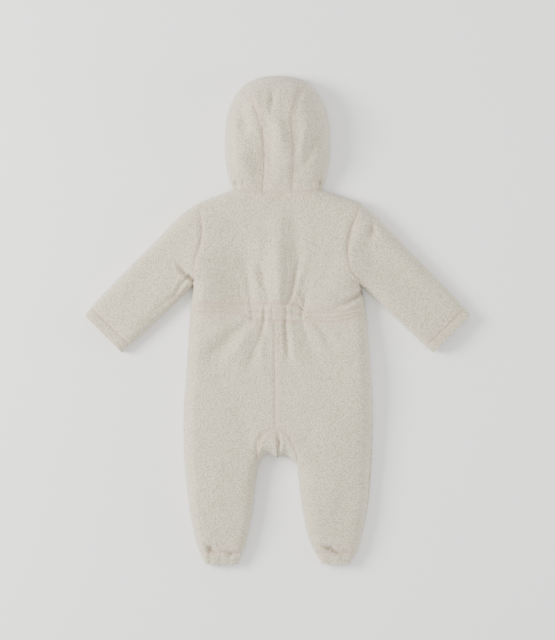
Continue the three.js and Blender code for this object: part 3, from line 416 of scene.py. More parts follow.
def add_node(tree, kind, settings=None, values=None, links=None):
    """Adds a node with its settings, the values of its sockets and the links into them."""
    node = tree.nodes.new(kind)
    for name, value in (settings or {}).items():
        setattr(node, name, value)
    for socket, value in (values or {}).items():
        node.inputs[socket].default_value = value
    for socket, source in (links or {}).items():
        tree.links.new(source, node.inputs[socket])
    return node


def new_material(name, values):
    """An empty node material, its tree, and its shader with the values of its sockets."""
    made = bpy.data.materials.new(name)
    made.use_nodes = True
    tree = made.node_tree
    tree.nodes.clear()
    shader = add_node(tree, "ShaderNodeBsdfPrincipled", values=values)
    add_node(tree, "ShaderNodeOutputMaterial", links={"Surface": shader.outputs["BSDF"]})
    return made, tree, shader


NOISE_RANGE = {"From Min": 0.3, "From Max": 0.7}  # nearly all of a noise's values lie in it
BAND = 2 * math.pi / 20  # width of one band of the wave texture at a scale of 1
SEWN = "sewn_down"  # attribute that says how hard stitches hold the pile down
FOLD_SHADE = "parted"  # attribute that says how much painted shade a tight fold gets
TUFT_SIZE = 1.2 * MM
TUFT_SHARE = 0.6  # of the tufts' noise in the hollows between nubs
ROOT_SHADE_RANGE = {"From Min": 0.4, "From Max": 1.15}  # from the nubs' tips to their roots, which carry painted shade
BUMP_SHARE = 1.6  # height of the bump, as a share of the nubs' height


def sherpa_fleece(fleece):
    """Knitted polyester fleece with a curled pile: matt, light tips, warm roots with painted shade, and a
    soft bloom.
    """
    made, tree, shader = new_material(
        "sherpa_fleece",
        {"Roughness": 0.95, "Specular IOR Level": 0.15, "Sheen Weight": 0.55, "Sheen Roughness": 0.6},
    )
    place = add_node(tree, "ShaderNodeTexCoord").outputs["Object"]
    nubs = add_node(
        tree,
        "ShaderNodeTexVoronoi",
        {"feature": "F1"},
        {"Scale": 1 / fleece.nub_size, "Randomness": 1.0},
        {"Vector": place},
    )
    # Single fibres are too fine to show, so they are drawn as tufts
    tufts = add_node(
        tree,
        "ShaderNodeTexNoise",
        values={"Scale": 1 / TUFT_SIZE, "Detail": 2.0, "Roughness": 0.6},
        links={"Vector": place},
    )
    hollow = add_node(
        tree,
        "ShaderNodeMath",
        {"operation": "MULTIPLY_ADD"},
        {1: TUFT_SHARE},
        {0: tufts.outputs["Fac"], 2: nubs.outputs["Distance"]},
    )
    shade = add_node(
        tree,
        "ShaderNodeMapRange",
        {"interpolation_type": "SMOOTHSTEP"},
        ROOT_SHADE_RANGE,
        {"Value": hollow.outputs["Value"]},
    )
    # Painted shade: the darker root colour fills the hollows between the nubs, on top of their warmer tone
    pile = add_node(
        tree,
        "ShaderNodeMix",
        {"data_type": "RGBA"},
        {"A": (*fleece.tip, 1.0), "B": (*fleece.root, 1.0)},
        {"Factor": shade.outputs["Result"]},
    )
    # A seam holds the pile down, so its warmer roots show. Tight folds get painted shade, the dark fold
    # colour mixed in.
    for attribute, roots in ((SEWN, fleece.seam), (FOLD_SHADE, fleece.fold)):
        share = add_node(tree, "ShaderNodeAttribute", {"attribute_name": attribute})
        pile = add_node(
            tree,
            "ShaderNodeMix",
            {"data_type": "RGBA"},
            {"B": (*roots, 1.0)},
            {"Factor": share.outputs["Fac"], "A": pile.outputs["Result"]},
        )
    # Tones of the dyed cloth differ barely, in patches about 45 mm wide
    patches = add_node(
        tree, "ShaderNodeTexNoise", values={"Scale": 1 / (45.5 * MM), "Detail": 3.0}, links={"Vector": place}
    )
    tone = add_node(
        tree,
        "ShaderNodeMapRange",
        values={**NOISE_RANGE, "To Min": 0.97, "To Max": 1.03},
        links={"Value": patches.outputs["Fac"]},
    )
    uneven = add_node(
        tree,
        "ShaderNodeHueSaturation",
        links={"Value": tone.outputs["Result"], "Color": pile.outputs["Result"]},
    )
    bump = add_node(
        tree,
        "ShaderNodeBump",
        {"invert": True},
        {"Strength": 1.0, "Distance": fleece.nub_height * BUMP_SHARE},
        {"Height": hollow.outputs["Value"]},
    )
    tree.links.new(uneven.outputs["Color"], shader.inputs["Base Color"])
    tree.links.new(bump.outputs["Normal"], shader.inputs["Normal"])
    return made


def spun_thread(sewing):
    """Spun polyester sewing thread: a fine twist, 0.38 mm long, that gives it a slight silky line."""
    made, tree, shader = new_material("spun_polyester_thread", {"Roughness": 0.7, "Sheen Weight": 0.15})
    place = add_node(tree, "ShaderNodeTexCoord").outputs["Object"]
    twist = add_node(
        tree, "ShaderNodeTexNoise", values={"Scale": 1 / (0.385 * MM), "Detail": 1.0}, links={"Vector": place}
    )
    tone = add_node(
        tree,
        "ShaderNodeMapRange",
        values={**NOISE_RANGE, "To Min": 0.88, "To Max": 1.06},
        links={"Value": twist.outputs["Fac"]},
    )
    plies = add_node(
        tree,
        "ShaderNodeHueSaturation",
        values={"Color": (*sewing.thread, 1.0)},
        links={"Value": tone.outputs["Result"]},
    )
    bump = add_node(
        tree,
        "ShaderNodeBump",
        values={"Strength": 0.4, "Distance": 0.1 * MM},
        links={"Height": twist.outputs["Fac"]},
    )
    tree.links.new(plies.outputs["Color"], shader.inputs["Base Color"])
    tree.links.new(bump.outputs["Normal"], shader.inputs["Normal"])
    return made


def woven_tape(zip_settings):
    """Woven polyester zip tape: close ribs across it, 1.6 mm apart, matt."""
    made, tree, shader = new_material("woven_polyester_tape", {"Roughness": 0.85})
    place = add_node(tree, "ShaderNodeTexCoord").outputs["Object"]
    ribs = add_node(
        tree,
        "ShaderNodeTexWave",
        {"bands_direction": "Y"},
        {"Scale": BAND / (1.6 * MM), "Distortion": 0.4, "Detail": 1.0},
        {"Vector": place},
    )
    tone = add_node(
        tree,
        "ShaderNodeMapRange",
        values={"To Min": 0.82, "To Max": 1.05},
        links={"Value": ribs.outputs["Fac"]},
    )
    weave = add_node(
        tree,
        "ShaderNodeHueSaturation",
        values={"Color": (*zip_settings.tape, 1.0)},
        links={"Value": tone.outputs["Result"]},
    )
    bump = add_node(
        tree,
        "ShaderNodeBump",
        values={"Strength": 0.6, "Distance": 0.15 * MM},
        links={"Height": ribs.outputs["Fac"]},
    )
    tree.links.new(weave.outputs["Color"], shader.inputs["Base Color"])
    tree.links.new(bump.outputs["Normal"], shader.inputs["Normal"])
    return made


def moulded_acetal(zip_settings):
    """Acetal teeth moulded on to the tape: dense, with a low sheen and faint flow marks 2.4 mm wide."""
    made, tree, shader = new_material("moulded_acetal", {"IOR": 1.48})
    place = add_node(tree, "ShaderNodeTexCoord").outputs["Object"]
    flow = add_node(
        tree, "ShaderNodeTexNoise", values={"Scale": 1 / (2.4 * MM), "Detail": 2.0}, links={"Vector": place}
    )
    tone = add_node(
        tree,
        "ShaderNodeMapRange",
        values={**NOISE_RANGE, "To Min": 0.96, "To Max": 1.02},
        links={"Value": flow.outputs["Fac"]},
    )
    plastic = add_node(
        tree,
        "ShaderNodeHueSaturation",
        values={"Color": (*zip_settings.plastic, 1.0)},
        links={"Value": tone.outputs["Result"]},
    )
    gloss = add_node(
        tree,
        "ShaderNodeMapRange",
        values={**NOISE_RANGE, "To Min": 0.38, "To Max": 0.5},
        links={"Value": flow.outputs["Fac"]},
    )
    tree.links.new(plastic.outputs["Color"], shader.inputs["Base Color"])
    tree.links.new(gloss.outputs["Result"], shader.inputs["Roughness"])
    return made


def plated_zinc(zip_settings):
    """Die-cast zinc with satin nickel plating: soft gloss, with pits from the mould about 1.1 mm apart."""
    made, tree, shader = new_material("satin_plated_zinc", {"Metallic": 1.0})
    place = add_node(tree, "ShaderNodeTexCoord").outputs["Object"]
    pits = add_node(
        tree, "ShaderNodeTexNoise", values={"Scale": 1 / (1.1 * MM), "Detail": 3.0}, links={"Vector": place}
    )
    tone = add_node(
        tree,
        "ShaderNodeMapRange",
        values={**NOISE_RANGE, "To Min": 0.93, "To Max": 1.03},
        links={"Value": pits.outputs["Fac"]},
    )
    plating = add_node(
        tree,
        "ShaderNodeHueSaturation",
        values={"Color": (*zip_settings.metal, 1.0)},
        links={"Value": tone.outputs["Result"]},
    )
    gloss = add_node(
        tree,
        "ShaderNodeMapRange",
        values={**NOISE_RANGE, "To Min": 0.3, "To Max": 0.42},
        links={"Value": pits.outputs["Fac"]},
    )
    bump = add_node(
        tree,
        "ShaderNodeBump",
        values={"Strength": 0.25, "Distance": 0.05 * MM},
        links={"Height": pits.outputs["Fac"]},
    )
    tree.links.new(plating.outputs["Color"], shader.inputs["Base Color"])
    tree.links.new(gloss.outputs["Result"], shader.inputs["Roughness"])
    tree.links.new(bump.outputs["Normal"], shader.inputs["Normal"])
    return made


def painted_floor(stage):
    """White painted board under the suit: matt, with the barely uneven tone that a roller leaves."""
    made, tree, shader = new_material("painted_floor", {"Roughness": 0.9})
    place = add_node(tree, "ShaderNodeTexCoord").outputs["Object"]
    roller = add_node(tree, "ShaderNodeTexNoise", values={"Scale": 1 / (333 * MM)}, links={"Vector": place})
    tone = add_node(
        tree,
        "ShaderNodeMapRange",
        values={**NOISE_RANGE, "To Min": 0.995, "To Max": 1.005},
        links={"Value": roller.outputs["Fac"]},
    )
    paint = add_node(
        tree,
        "ShaderNodeHueSaturation",
        values={"Color": (*stage.floor, 1.0)},
        links={"Value": tone.outputs["Result"]},
    )
    tree.links.new(paint.outputs["Color"], shader.inputs["Base Color"])
    return made


def finish_of(maker, settings):
    """The material that a maker function gives, made once."""
    made = finish_of.made.get(maker.__name__)
    if made is None:
        made = maker(settings)
        finish_of.made[maker.__name__] = made
    return made


finish_of.made = {}


def mesh_of(bm, name):
    """A mesh of what a bmesh holds, which is then freed."""
    mesh = bpy.data.meshes.new(name)
    bm.to_mesh(mesh)
    bm.free()
    return mesh


def vectors_of(items, name):
    """An array of a vector that each vertex or face of a mesh has, one in a row."""
    values = np.empty(len(items) * 3)
    items.foreach_get(name, values)
    return values.reshape(-1, 3)


def numbers_of(items, name):
    """An array of a whole number that each corner or face of a mesh has."""
    values = np.empty(len(items), int)
    items.foreach_get(name, values)
    return values


def place_piece(name, mesh, material):
    """An object for a finished mesh, at the origin and riding on the suit."""
    piece = bpy.data.objects.new(name, mesh)
    bpy.context.scene.collection.objects.link(piece)
    mesh.materials.clear()
    mesh.materials.append(material)
    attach(piece, SUIT)
    return piece


MERGE = 0.01 * MM
SAME_SIDE = math.radians(45)  # two triangles of one patch of cloth never fold more than this
CUT_EDGE_TURN = math.radians(60)  # the wall turns by more than this at its cut edges
CUT_EDGE_HEIGHT = (1.8 * MM, 5 * MM)
CUT_EDGE_CREASE = 0.35
CORNER_TURN = math.radians(35)  # a cut edge that turns by more than this has a corner
CORNER_CREASE = 0.9
CUT_EDGE_MARK = 1  # the material index that marks the faces of a cut edge while a wall is made


def cut_edge_sides(face):
    """The long edges and the end edges of a face that lies in the wall's cut edge, or None."""
    if len(face.edges) != 4:
        return None
    for first in (0, 1):
        sides = [face.edges[first], face.edges[first + 2]]
        ends = [face.edges[first + 1], face.edges[(first + 3) % 4]]
        turned = all(edge.is_manifold and edge.calc_face_angle() > CUT_EDGE_TURN for edge in sides)
        if turned and all(CUT_EDGE_HEIGHT[0] < edge.calc_length() < CUT_EDGE_HEIGHT[1] for edge in ends):
            return sides, ends
    return None


def paired_wall(node):
    """A bmesh of a node's cloth wall, its triangles paired as quads."""
    bm = bmesh.new()
    bm.from_mesh(frame["nodes"][node].data)
    bmesh.ops.remove_doubles(bm, verts=bm.verts, dist=MERGE)
    bmesh.ops.join_triangles(
        bm,
        faces=bm.faces,
        angle_face_threshold=SAME_SIDE,
        angle_shape_threshold=math.pi,
        topology_influence=1.0,
    )
    return bm


def smooth_wall(node, levels):
    """The cloth wall of a node, smoothed so that its cut edges are round, with those edges' faces marked."""
    bm = paired_wall(node)
    crease = bm.edges.layers.float.new("crease_edge")
    for face in bm.faces:
        found = cut_edge_sides(face)
        if found:
            face.material_index = CUT_EDGE_MARK
            sides, ends = found
            for edge in sides:
                edge[crease] = CUT_EDGE_CREASE
            for edge in ends:
                if edge.is_manifold and edge.calc_face_angle() > CORNER_TURN:
                    edge[crease] = CORNER_CREASE
    rough = bpy.data.objects.new(node + "_wall", mesh_of(bm, node + "_wall"))
    bpy.context.scene.collection.objects.link(rough)
    smoothing = rough.modifiers.new("Smooth", "SUBSURF")
    smoothing.levels = levels
    smoothing.render_levels = levels
    graph = bpy.context.evaluated_depsgraph_get()
    smooth = bpy.data.meshes.new_from_object(rough.evaluated_get(graph))
    bpy.data.objects.remove(rough)
    return smooth


SEAM_STEP = 1.5 * MM
SEAM_REACH = 1.8 * MM  # cut edges that lie closer than this are sewn together
LIES_FLAT = 0.6  # cosine of the slope of the cloth past which a seam lies on the suit's side, out of sight
SEAM_HEIGHT = 10 * MM  # where the back and the fronts meet at the sides
Rim = namedtuple("Rim", "point node flat")


def tree_of(points):
    """A search tree of points."""
    tree = KDTree(len(points))
    for i, point in enumerate(points):
        tree.insert(point, i)
    tree.balance()
    return tree


def find_seams():
    """Search trees of the points where two pieces are sewn: in space, and on the plan of back and front."""
    if not find_seams.found:
        rims = []
        for cut in BODICE + HOOD + SLEEVES + LEGS + FRONTS:
            bm = paired_wall(cut.node)
            for ends in [found[1] for found in map(cut_edge_sides, bm.faces) if found]:
                a, b = [(end.verts[0].co + end.verts[1].co) / 2 for end in ends]
                slopes = [abs((end.verts[0].co - end.verts[1].co).normalized().z) for end in ends]
                flat = min(slopes) > LIES_FLAT
                steps = max(1, math.ceil((b - a).length / SEAM_STEP))
                rims += [Rim(a.lerp(b, (i + 0.5) / steps), cut.node, flat) for i in range(steps)]
            bm.free()
        edges = tree_of([rim.point for rim in rims])
        sewn = [
            rim
            for rim in rims
            if any(rims[i].node != rim.node for _, i, _ in edges.find_range(rim.point, SEAM_REACH))
        ]
        find_seams.found = {"space": tree_of([rim.point for rim in sewn])}
        for side in SIDES:
            shown = [rim for rim in sewn if rim.flat and side.way * (rim.point.z - SEAM_HEIGHT) > 0]
            find_seams.found[side.name] = tree_of([Vector((*rim.point.xy, 0)) for rim in shown])
    return find_seams.found


find_seams.found = {}


SEAM_OVERLAP = 0.55 * MM  # how far the piles of two sewn pieces grow into each other
CUT_EDGE_REACH = 3.2 * MM


def close_seams(mesh, points):
    """Pushes the sewn cut edges out, so that the piles of the two pieces meet."""
    corners = numbers_of(mesh.loops, "vertex_index").reshape(-1, 4)
    edge_faces = numbers_of(mesh.polygons, "material_index") == CUT_EDGE_MARK
    facing = vectors_of(mesh.polygons, "normal")
    outward = np.zeros_like(points)
    for k in range(4):
        np.add.at(outward, corners[edge_faces, k], facing[edge_faces])
    lengths = np.linalg.norm(outward, axis=1)
    seams = find_seams()["space"]
    for i in np.nonzero(lengths)[0]:
        if seams.find(points[i])[2] < CUT_EDGE_REACH:
            points[i] += outward[i] / lengths[i] * SEAM_OVERLAP
    mesh.polygons.foreach_set("material_index", np.zeros(len(mesh.polygons), int))


def seam_closeness(plan, side, half_width):
    """How close each plan point is to the seams of one side: 1 on a seam, falling to 0 away from it."""
    tree = find_seams()[side.name]
    distance = np.array([tree.find((x, y, 0))[2] for x, y in plan])
    return np.exp(-((distance / half_width) ** 2))


SHOULDER = 0.28  # height of the swelling on both sides of a crease, as a share of its depth
SHOULDER_PLACE = 2.0  # its distance from the crease, in half widths
SHOULDER_SHARPNESS = 2.0


def crease_depth(plan, creases):
    """How deep the creases are at each plan point. Where two meet, the deeper one counts for most."""
    sunk, raised = np.zeros(len(plan)), np.zeros(len(plan))
    for crease in creases:
        line = np.array(crease.line, float) * MM
        legs = np.diff(line, axis=0)
        lengths = np.hypot(legs[:, 0], legs[:, 1])
        starts = np.concatenate([[0], np.cumsum(lengths)])
        nearest = np.full(len(plan), np.inf)
        along = np.zeros(len(plan))
        for start, leg, size, before in zip(line, legs, lengths, starts):
            share = np.clip((plan - start) @ leg / size**2, 0, 1)
            away = plan - start - share[:, None] * leg
            distance = np.hypot(away[:, 0], away[:, 1])
            closer = distance < nearest
            nearest[closer] = distance[closer]
            along[closer] = (before + share * size)[closer]
        depth, half_width = [
            np.interp(along / starts[-1], np.linspace(0, 1, len(values)), np.array(values) * MM)
            for values in (crease.depths, crease.half_widths)
        ]
        reach = nearest / half_width
        shoulder = SHOULDER * np.exp(-SHOULDER_SHARPNESS * (reach - SHOULDER_PLACE) ** 2)
        shape = depth * (np.exp(-(reach**2)) - shoulder)
        sunk += np.maximum(shape, 0) ** 2
        raised += np.minimum(shape, 0) ** 2
    return np.sqrt(sunk) - np.sqrt(raised)


def stitch_dents(lines, sewing):
    """Rows of stitches as creases that sink them into the pile."""
    depth = sewing.dent / MM
    half_width = sewing.dent_width / MM
    return [Crease(row.name, row.line, (depth, depth), (half_width, half_width)) for row in lines]


ROLL = 5 * MM  # the creases fade out over this height above and below the seams at the sides
SEAM_TINT_WIDTH = 1.9 * MM
SEWN_SHARE = 0.8  # of the seam's colour where the pile is held down hardest
TIGHT = 7.0  # half width, in millimetres, up to which a crease gets painted shade
SLACK = 14.5  # half width, in millimetres, above which a crease is slack cloth that carries the others
SHALLOW = 2.0 * MM  # tight creases shallower than this get no painted shade
DEEP = 6.5 * MM  # those this deep get it fully
FOLD_SHADE_SHARE = 0.7  # of the folds' painted shade where a fold is deepest


def crease_cloth(points, fleece, sewing):
    """Presses seams, stitches and creases in, and gives how far each point is sewn down and how much painted
    shade tight folds give it.
    """
    sewn = np.zeros(len(points))
    parted = np.zeros(len(points))
    for side in SIDES:
        height = side.way * (points[:, 2] - SEAM_HEIGHT) / ROLL
        touched = np.nonzero(height > -1)[0]
        plan = points[touched, :2]
        weight = np.clip(height[touched], 0, 1)
        slack = [crease for crease in side.creases if max(crease.half_widths) > SLACK]
        folds = [crease for crease in side.creases if max(crease.half_widths) <= SLACK]
        dents = crease_depth(plan, stitch_dents(side.stitches, sewing))
        seams = fleece.seam_depth * seam_closeness(plan, side, fleece.seam_width)
        sunk = crease_depth(plan, slack) + crease_depth(plan, folds) + np.maximum(dents, seams)
        points[touched, 2] -= side.way * weight * sunk
        held = np.maximum(seam_closeness(plan, side, SEAM_TINT_WIDTH), dents / sewing.dent)
        sewn[touched] = np.maximum(sewn[touched], weight * held)
        # Painted shade: tight creases darken the colour, the more the deeper they are
        tight = crease_depth(plan, [crease for crease in folds if max(crease.half_widths) <= TIGHT])
        fold_darkening = np.clip((tight - SHALLOW) / (DEEP - SHALLOW), 0, 1) * np.clip(height[touched] + 1, 0, 1)
        parted[touched] = np.maximum(parted[touched], fold_darkening)
    return sewn, parted


NUB_LEVEL = 0.5  # distance from a nub's middle, in nub sizes, at which the pile keeps the wall's own surface


def raise_pile(points, normals, fleece):
    """Pushes the cloth's surface out into nubs and clumps."""
    nub = 1 / fleece.nub_size
    clump = 1 / fleece.clump_size
    rise = np.empty(len(points))
    for i, point in enumerate(points):
        place = Vector(point)
        nearest = noise.voronoi(place * nub)[0][0]
        rise[i] = fleece.nub_height * (NUB_LEVEL - nearest) + fleece.clump_height * noise.noise(place * clump)
    points += normals * rise[:, None]


def make_cloth(context, cuts, hidden=False):
    """One piece of fleece for each cut, in place of its node."""
    fleece = context.scene.snowsuit_fleece
    sewing = context.scene.snowsuit_sewing
    levels = fleece.hidden_levels if hidden else fleece.levels
    for cut in cuts:
        mesh = smooth_wall(cut.node, levels)
        points = vectors_of(mesh.vertices, "co")
        close_seams(mesh, points)
        sewn, parted = crease_cloth(points, fleece, sewing)
        mesh.vertices.foreach_set("co", points.ravel())
        mesh.update()
        raise_pile(points, vectors_of(mesh.vertices, "normal"), fleece)
        points[:, 2] = np.maximum(points[:, 2], 0)
        mesh.vertices.foreach_set("co", points.ravel())
        for name, values in ((SEWN, np.clip(sewn, 0, 1) * SEWN_SHARE), (FOLD_SHADE, parted * FOLD_SHADE_SHARE)):
            mesh.attributes.new(name, "FLOAT", "POINT").data.foreach_set("value", values)
        mesh.shade_smooth()
        mesh.update()
        piece = place_piece(f"fleece_{cut.node}", mesh, finish_of(sherpa_fleece, fleece))
        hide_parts(cut.node)


class SNOWSUIT_OT_bodice(bpy.types.Operator):
    """Makes the back bodice and the waist casing"""

    bl_idname = "snowsuit.bodice"
    bl_label = "Back bodice and casing"

    def execute(self, context):
        make_cloth(context, BODICE)
        return {"FINISHED"}


class SNOWSUIT_OT_hood(bpy.types.Operator):
    """Makes the hood's three panels and its face hem"""

    bl_idname = "snowsuit.hood"
    bl_label = "Hood"

    def execute(self, context):
        make_cloth(context, HOOD)
        return {"FINISHED"}


class SNOWSUIT_OT_sleeves(bpy.types.Operator):
    """Makes both sleeves with their turned cuffs"""

    bl_idname = "snowsuit.sleeves"
    bl_label = "Sleeves"

    def execute(self, context):
        make_cloth(context, SLEEVES)
        return {"FINISHED"}


class SNOWSUIT_OT_legs(bpy.types.Operator):
    """Makes the back trousers, the gusset and the ankle hems"""

    bl_idname = "snowsuit.legs"
    bl_label = "Legs, gusset and ankles"

    def execute(self, context):
        make_cloth(context, LEGS)
        return {"FINISHED"}


class SNOWSUIT_OT_fronts(bpy.types.Operator):
    """Makes the two fronts that the suit lies on"""

    bl_idname = "snowsuit.fronts"
    bl_label = "Fronts"

    def execute(self, context):
        make_cloth(context, FRONTS, hidden=True)
        return {"FINISHED"}


PROBE_HEIGHT = 200 * MM  # beyond the cloth, both above and below it
HELD_DOWN = 0.15  # share of the thread's thickness that lies below the pile
STITCH_REACH = 0.36  # from a stitch's middle to where each end meets the cloth, as a share of its length
STITCH_SPAN = 0.62  # half length of its thread, as a share of the distance between those ends
STITCH_SIDES = 6
STITCH_RINGS = 5


def surface_at(trees, place, way):
    """The point of the cloth's outside at a place on the plan, or None past its edge."""
    start = Vector((place.x, place.y, way * PROBE_HEIGHT))
    hits = [tree.ray_cast(start, Vector((0, 0, -way))) for tree in trees]
    found = [hit for hit in hits if hit[0] is not None]
    return min(found, key=lambda hit: hit[3])[0] if found else None


def steps_along(line, pitch):
    """Points on a line in millimetres, a stitch apart, with the way on at each."""
    for start, end in zip(line, line[1:]):
        a, b = Vector(start) * MM, Vector(end) * MM
        count = max(1, round((b - a).length / pitch))
        for i in range(count):
            yield a.lerp(b, (i + 0.5) / count), (b - a).normalized()


def sew(row, way, trees, sewing, bm):
    """Adds a row of stitches to a bmesh, each a short thread on the cloth of the side that faces that way."""
    reach = sewing.stitch * STITCH_REACH
    radius = sewing.thickness / 2
    for place, onward in steps_along(row.line, sewing.stitch):
        ends = [place - onward * reach, place + onward * reach]
        found = [surface_at(trees, end, way) for end in ends]
        if None in found:
            continue
        a, b = found
        middle = (a + b) / 2
        middle.z = max(middle.z + way * sewing.thickness * (0.5 - HELD_DOWN), radius)
        turn = (b - a).to_track_quat("X", "Z").to_matrix().to_4x4()
        size = Matrix.Diagonal(((b - a).length * STITCH_SPAN, radius, radius, 1))
        bmesh.ops.create_uvsphere(
            bm,
            u_segments=STITCH_SIDES,
            v_segments=STITCH_RINGS,
            radius=1,
            matrix=Matrix.Translation(middle) @ turn @ size,
        )


class SNOWSUIT_OT_topstitching(bpy.types.Operator):
    """Sews the rows of topstitching on the casing, the cuffs, the ankles and along the zip"""

    bl_idname = "snowsuit.topstitching"
    bl_label = "Topstitching"

    def execute(self, context):
        sewing = context.scene.snowsuit_sewing
        graph = context.evaluated_depsgraph_get()
        cloth = [piece for piece in context.scene.objects if piece.name.startswith("fleece_")]
        trees = [BVHTree.FromObject(piece, graph) for piece in cloth]
        for side in SIDES:
            bm = bmesh.new()
            for row in side.stitches:
                sew(row, side.way, trees, sewing, bm)
            name = f"topstitching_{side.name}"
            mesh = mesh_of(bm, name)
            mesh.shade_smooth()
            place_piece(name, mesh, finish_of(spun_thread, sewing))
        return {"FINISHED"}


TOOTH_LENGTH_SHARE = 0.56  # of the pitch, so that the teeth of the other row fit between
TOOTH_BEVEL = 0.25 * MM
TEETH_APART = 0.45 * MM
FIRST_TEETH = 0.75  # from the chain's foot to the middle of the first pair of teeth, in pitches
ROW_SHIFT = 0.25  # how far each row is moved from there, either way, in pitches
TAPE_COLUMNS = 6
TAPE_ROWS = 120
TAPE_THICKNESS = 0.5 * MM
TAPE_LIFT = 0.1 * MM
TAPE_WAVE = 0.15 * MM
WAVES_TO_A_METRE = 60
TAPE_INNER_EDGE = 0.2 * MM  # from the zip's middle, so that the teeth grip the tape
TAPE_TAIL = 9 * MM  # length of tape past the lowest teeth, sewn in with the gusset


def make_teeth(zip_settings):
    """Two rows of meshed teeth in place of the closed chain."""
    low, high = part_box("zip_chain")
    middle = (low + high) / 2
    bm = bmesh.new()
    pitch = zip_settings.tooth_pitch
    count = int((high.y - low.y) / pitch) - 1
    size = Vector((zip_settings.tooth_width, pitch * TOOTH_LENGTH_SHARE, high.z - low.z))
    for i in range(count):
        for side in (-1, 1):
            y = low.y + pitch * (i + FIRST_TEETH + ROW_SHIFT * side)
            place = Vector((middle.x + side * TEETH_APART, y, middle.z))
            bmesh.ops.create_cube(bm, size=1, matrix=Matrix.Translation(place) @ Matrix.Diagonal((*size, 1)))
    bmesh.ops.bevel(
        bm, geom=bm.edges, offset=TOOTH_BEVEL, segments=1, profile=0.5, affect="EDGES", material=-1
    )
    teeth = mesh_of(bm, "zip_teeth")
    piece = place_piece("zip_teeth", teeth, finish_of(moulded_acetal, zip_settings))
    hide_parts("zip_chain")


def make_tape(side, zip_settings):
    """A woven tape in place of its node, a little wavy where it is sewn."""
    node = f"zip_tape_{side}"
    low, high = [corner.copy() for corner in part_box(node)]
    if side == "left":
        high.x = ZIP_X * MM - TAPE_INNER_EDGE
    else:
        low.x = ZIP_X * MM + TAPE_INNER_EDGE
    low.y -= TAPE_TAIL
    bm = bmesh.new()
    middle = (low + high) / 2
    scale = Matrix.Diagonal(((high.x - low.x) / 2, (high.y - low.y) / 2, 1, 1))
    bmesh.ops.create_grid(
        bm, x_segments=TAPE_COLUMNS, y_segments=TAPE_ROWS, size=1, matrix=Matrix.Translation(middle) @ scale
    )
    for vert in bm.verts:
        vert.co.z = low.z + TAPE_LIFT + TAPE_WAVE * noise.noise(vert.co * WAVES_TO_A_METRE)
    bmesh.ops.recalc_face_normals(bm, faces=bm.faces)
    bmesh.ops.solidify(bm, geom=bm.faces, thickness=-TAPE_THICKNESS)
    tape = mesh_of(bm, node)
    piece = place_piece(f"woven_{node}", tape, finish_of(woven_tape, zip_settings))
    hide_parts(node)


class SNOWSUIT_OT_zip(bpy.types.Operator):
    """Makes the zip's teeth and tapes, and plates its slider and pull tab"""

    bl_idname = "snowsuit.zip"
    bl_label = "Zip"

    def execute(self, context):
        settings = context.scene.snowsuit_zip
        make_teeth(settings)
        for side in ("left", "right"):
            make_tape(side, settings)
        for node in ("zip_slider", "zip_pull_tab"):
            metal = frame["nodes"][node].data
            metal.materials.clear()
            metal.materials.append(finish_of(plated_zinc, settings))
        return {"FINISHED"}


def add_light(light, power):
    """A square area light that looks at the suit's middle."""
    data = bpy.data.lights.new(light.name, "AREA")
    data.energy = power
    data.size = light.side
    data.color = linear(light.tint)
    lamp = bpy.data.objects.new(light.name, data)
    lamp.location = light.place
    lamp.rotation_euler = (-Vector(light.place)).to_track_quat("-Z", "Y").to_euler()
    bpy.context.scene.collection.objects.link(lamp)


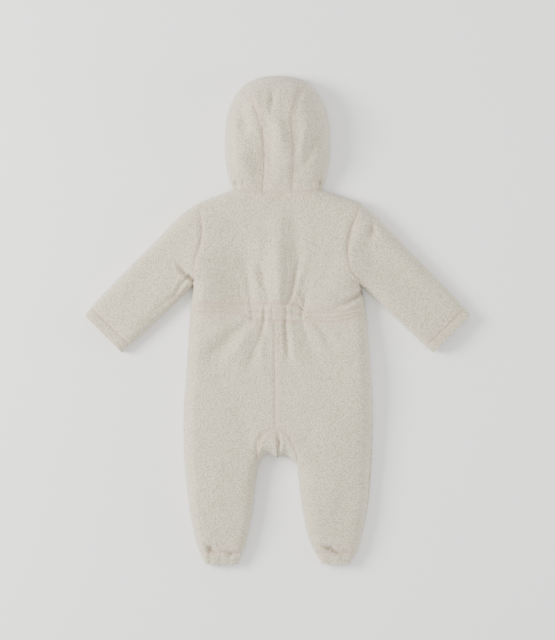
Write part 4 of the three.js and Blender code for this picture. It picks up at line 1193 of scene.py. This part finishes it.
class SNOWSUIT_OT_stage(bpy.types.Operator):
    """Lays the floor, sets the soft lights and points the camera straight down"""

    bl_idname = "snowsuit.stage"
    bl_label = "Floor, lights and camera"

    def execute(self, context):
        stage = context.scene.snowsuit_stage
        bm = bmesh.new()
        bmesh.ops.create_grid(bm, x_segments=1, y_segments=1, size=FLOOR_HALF_SIDE)
        mesh = mesh_of(bm, "floor")
        mesh.materials.append(painted_floor(stage))
        floor = bpy.data.objects.new("floor", mesh)
        context.scene.collection.objects.link(floor)

        world = bpy.data.worlds.new("studio")
        world.use_nodes = True
        background = world.node_tree.nodes["Background"]
        background.inputs["Color"].default_value = (*linear("#ffffff"), 1)
        background.inputs["Strength"].default_value = stage.surround
        context.scene.world = world
        for light in LIGHTS:
            add_light(light, getattr(stage, light.power))

        data = bpy.data.cameras.new("camera")
        data.lens = data.sensor_width * stage.camera_height / stage.view_height
        data.clip_end = FARTHEST_VIEW
        camera = bpy.data.objects.new("camera", data)
        camera.location = (0, 0, stage.camera_height)
        context.scene.collection.objects.link(camera)
        context.scene.camera = camera
        return {"FINISHED"}


class SNOWSUIT_PT_panel(bpy.types.Panel):
    """Lists the snowsuit's operators and sizes"""

    bl_idname = "SNOWSUIT_PT_panel"
    bl_label = "Baby Snowsuit"
    bl_space_type = "VIEW_3D"
    bl_region_type = "UI"
    bl_category = "Snowsuit"

    def draw(self, context):
        for operator in OPERATORS:
            self.layout.operator(operator.bl_idname)
        for name, group in SETTINGS.items():
            box = self.layout.box()
            settings = getattr(context.scene, name)
            for key in group.__annotations__:
                box.prop(settings, key)


OPERATORS = [
    SNOWSUIT_OT_stage,
    SNOWSUIT_OT_bodice,
    SNOWSUIT_OT_hood,
    SNOWSUIT_OT_sleeves,
    SNOWSUIT_OT_legs,
    SNOWSUIT_OT_fronts,
    SNOWSUIT_OT_zip,
    SNOWSUIT_OT_topstitching,
]
SETTINGS = {
    "snowsuit_fleece": SnowsuitFleece,
    "snowsuit_sewing": SnowsuitSewing,
    "snowsuit_zip": SnowsuitZip,
    "snowsuit_stage": SnowsuitStage,
}


def register():
    for group in SETTINGS.values():
        bpy.utils.register_class(group)
    for name, group in SETTINGS.items():
        setattr(bpy.types.Scene, name, PointerProperty(type=group))
    for made in [*OPERATORS, SNOWSUIT_PT_panel]:
        bpy.utils.register_class(made)


def unregister():
    for made in [SNOWSUIT_PT_panel, *reversed(OPERATORS)]:
        bpy.utils.unregister_class(made)
    for name, group in SETTINGS.items():
        delattr(bpy.types.Scene, name)
        bpy.utils.unregister_class(group)


def main():
    register()
    bpy.ops.snowsuit.stage()
    bpy.ops.snowsuit.bodice()
    bpy.ops.snowsuit.hood()
    bpy.ops.snowsuit.sleeves()
    bpy.ops.snowsuit.legs()
    bpy.ops.snowsuit.fronts()
    bpy.ops.snowsuit.zip()
    bpy.ops.snowsuit.topstitching()


if __name__ == "__main__":
    main()
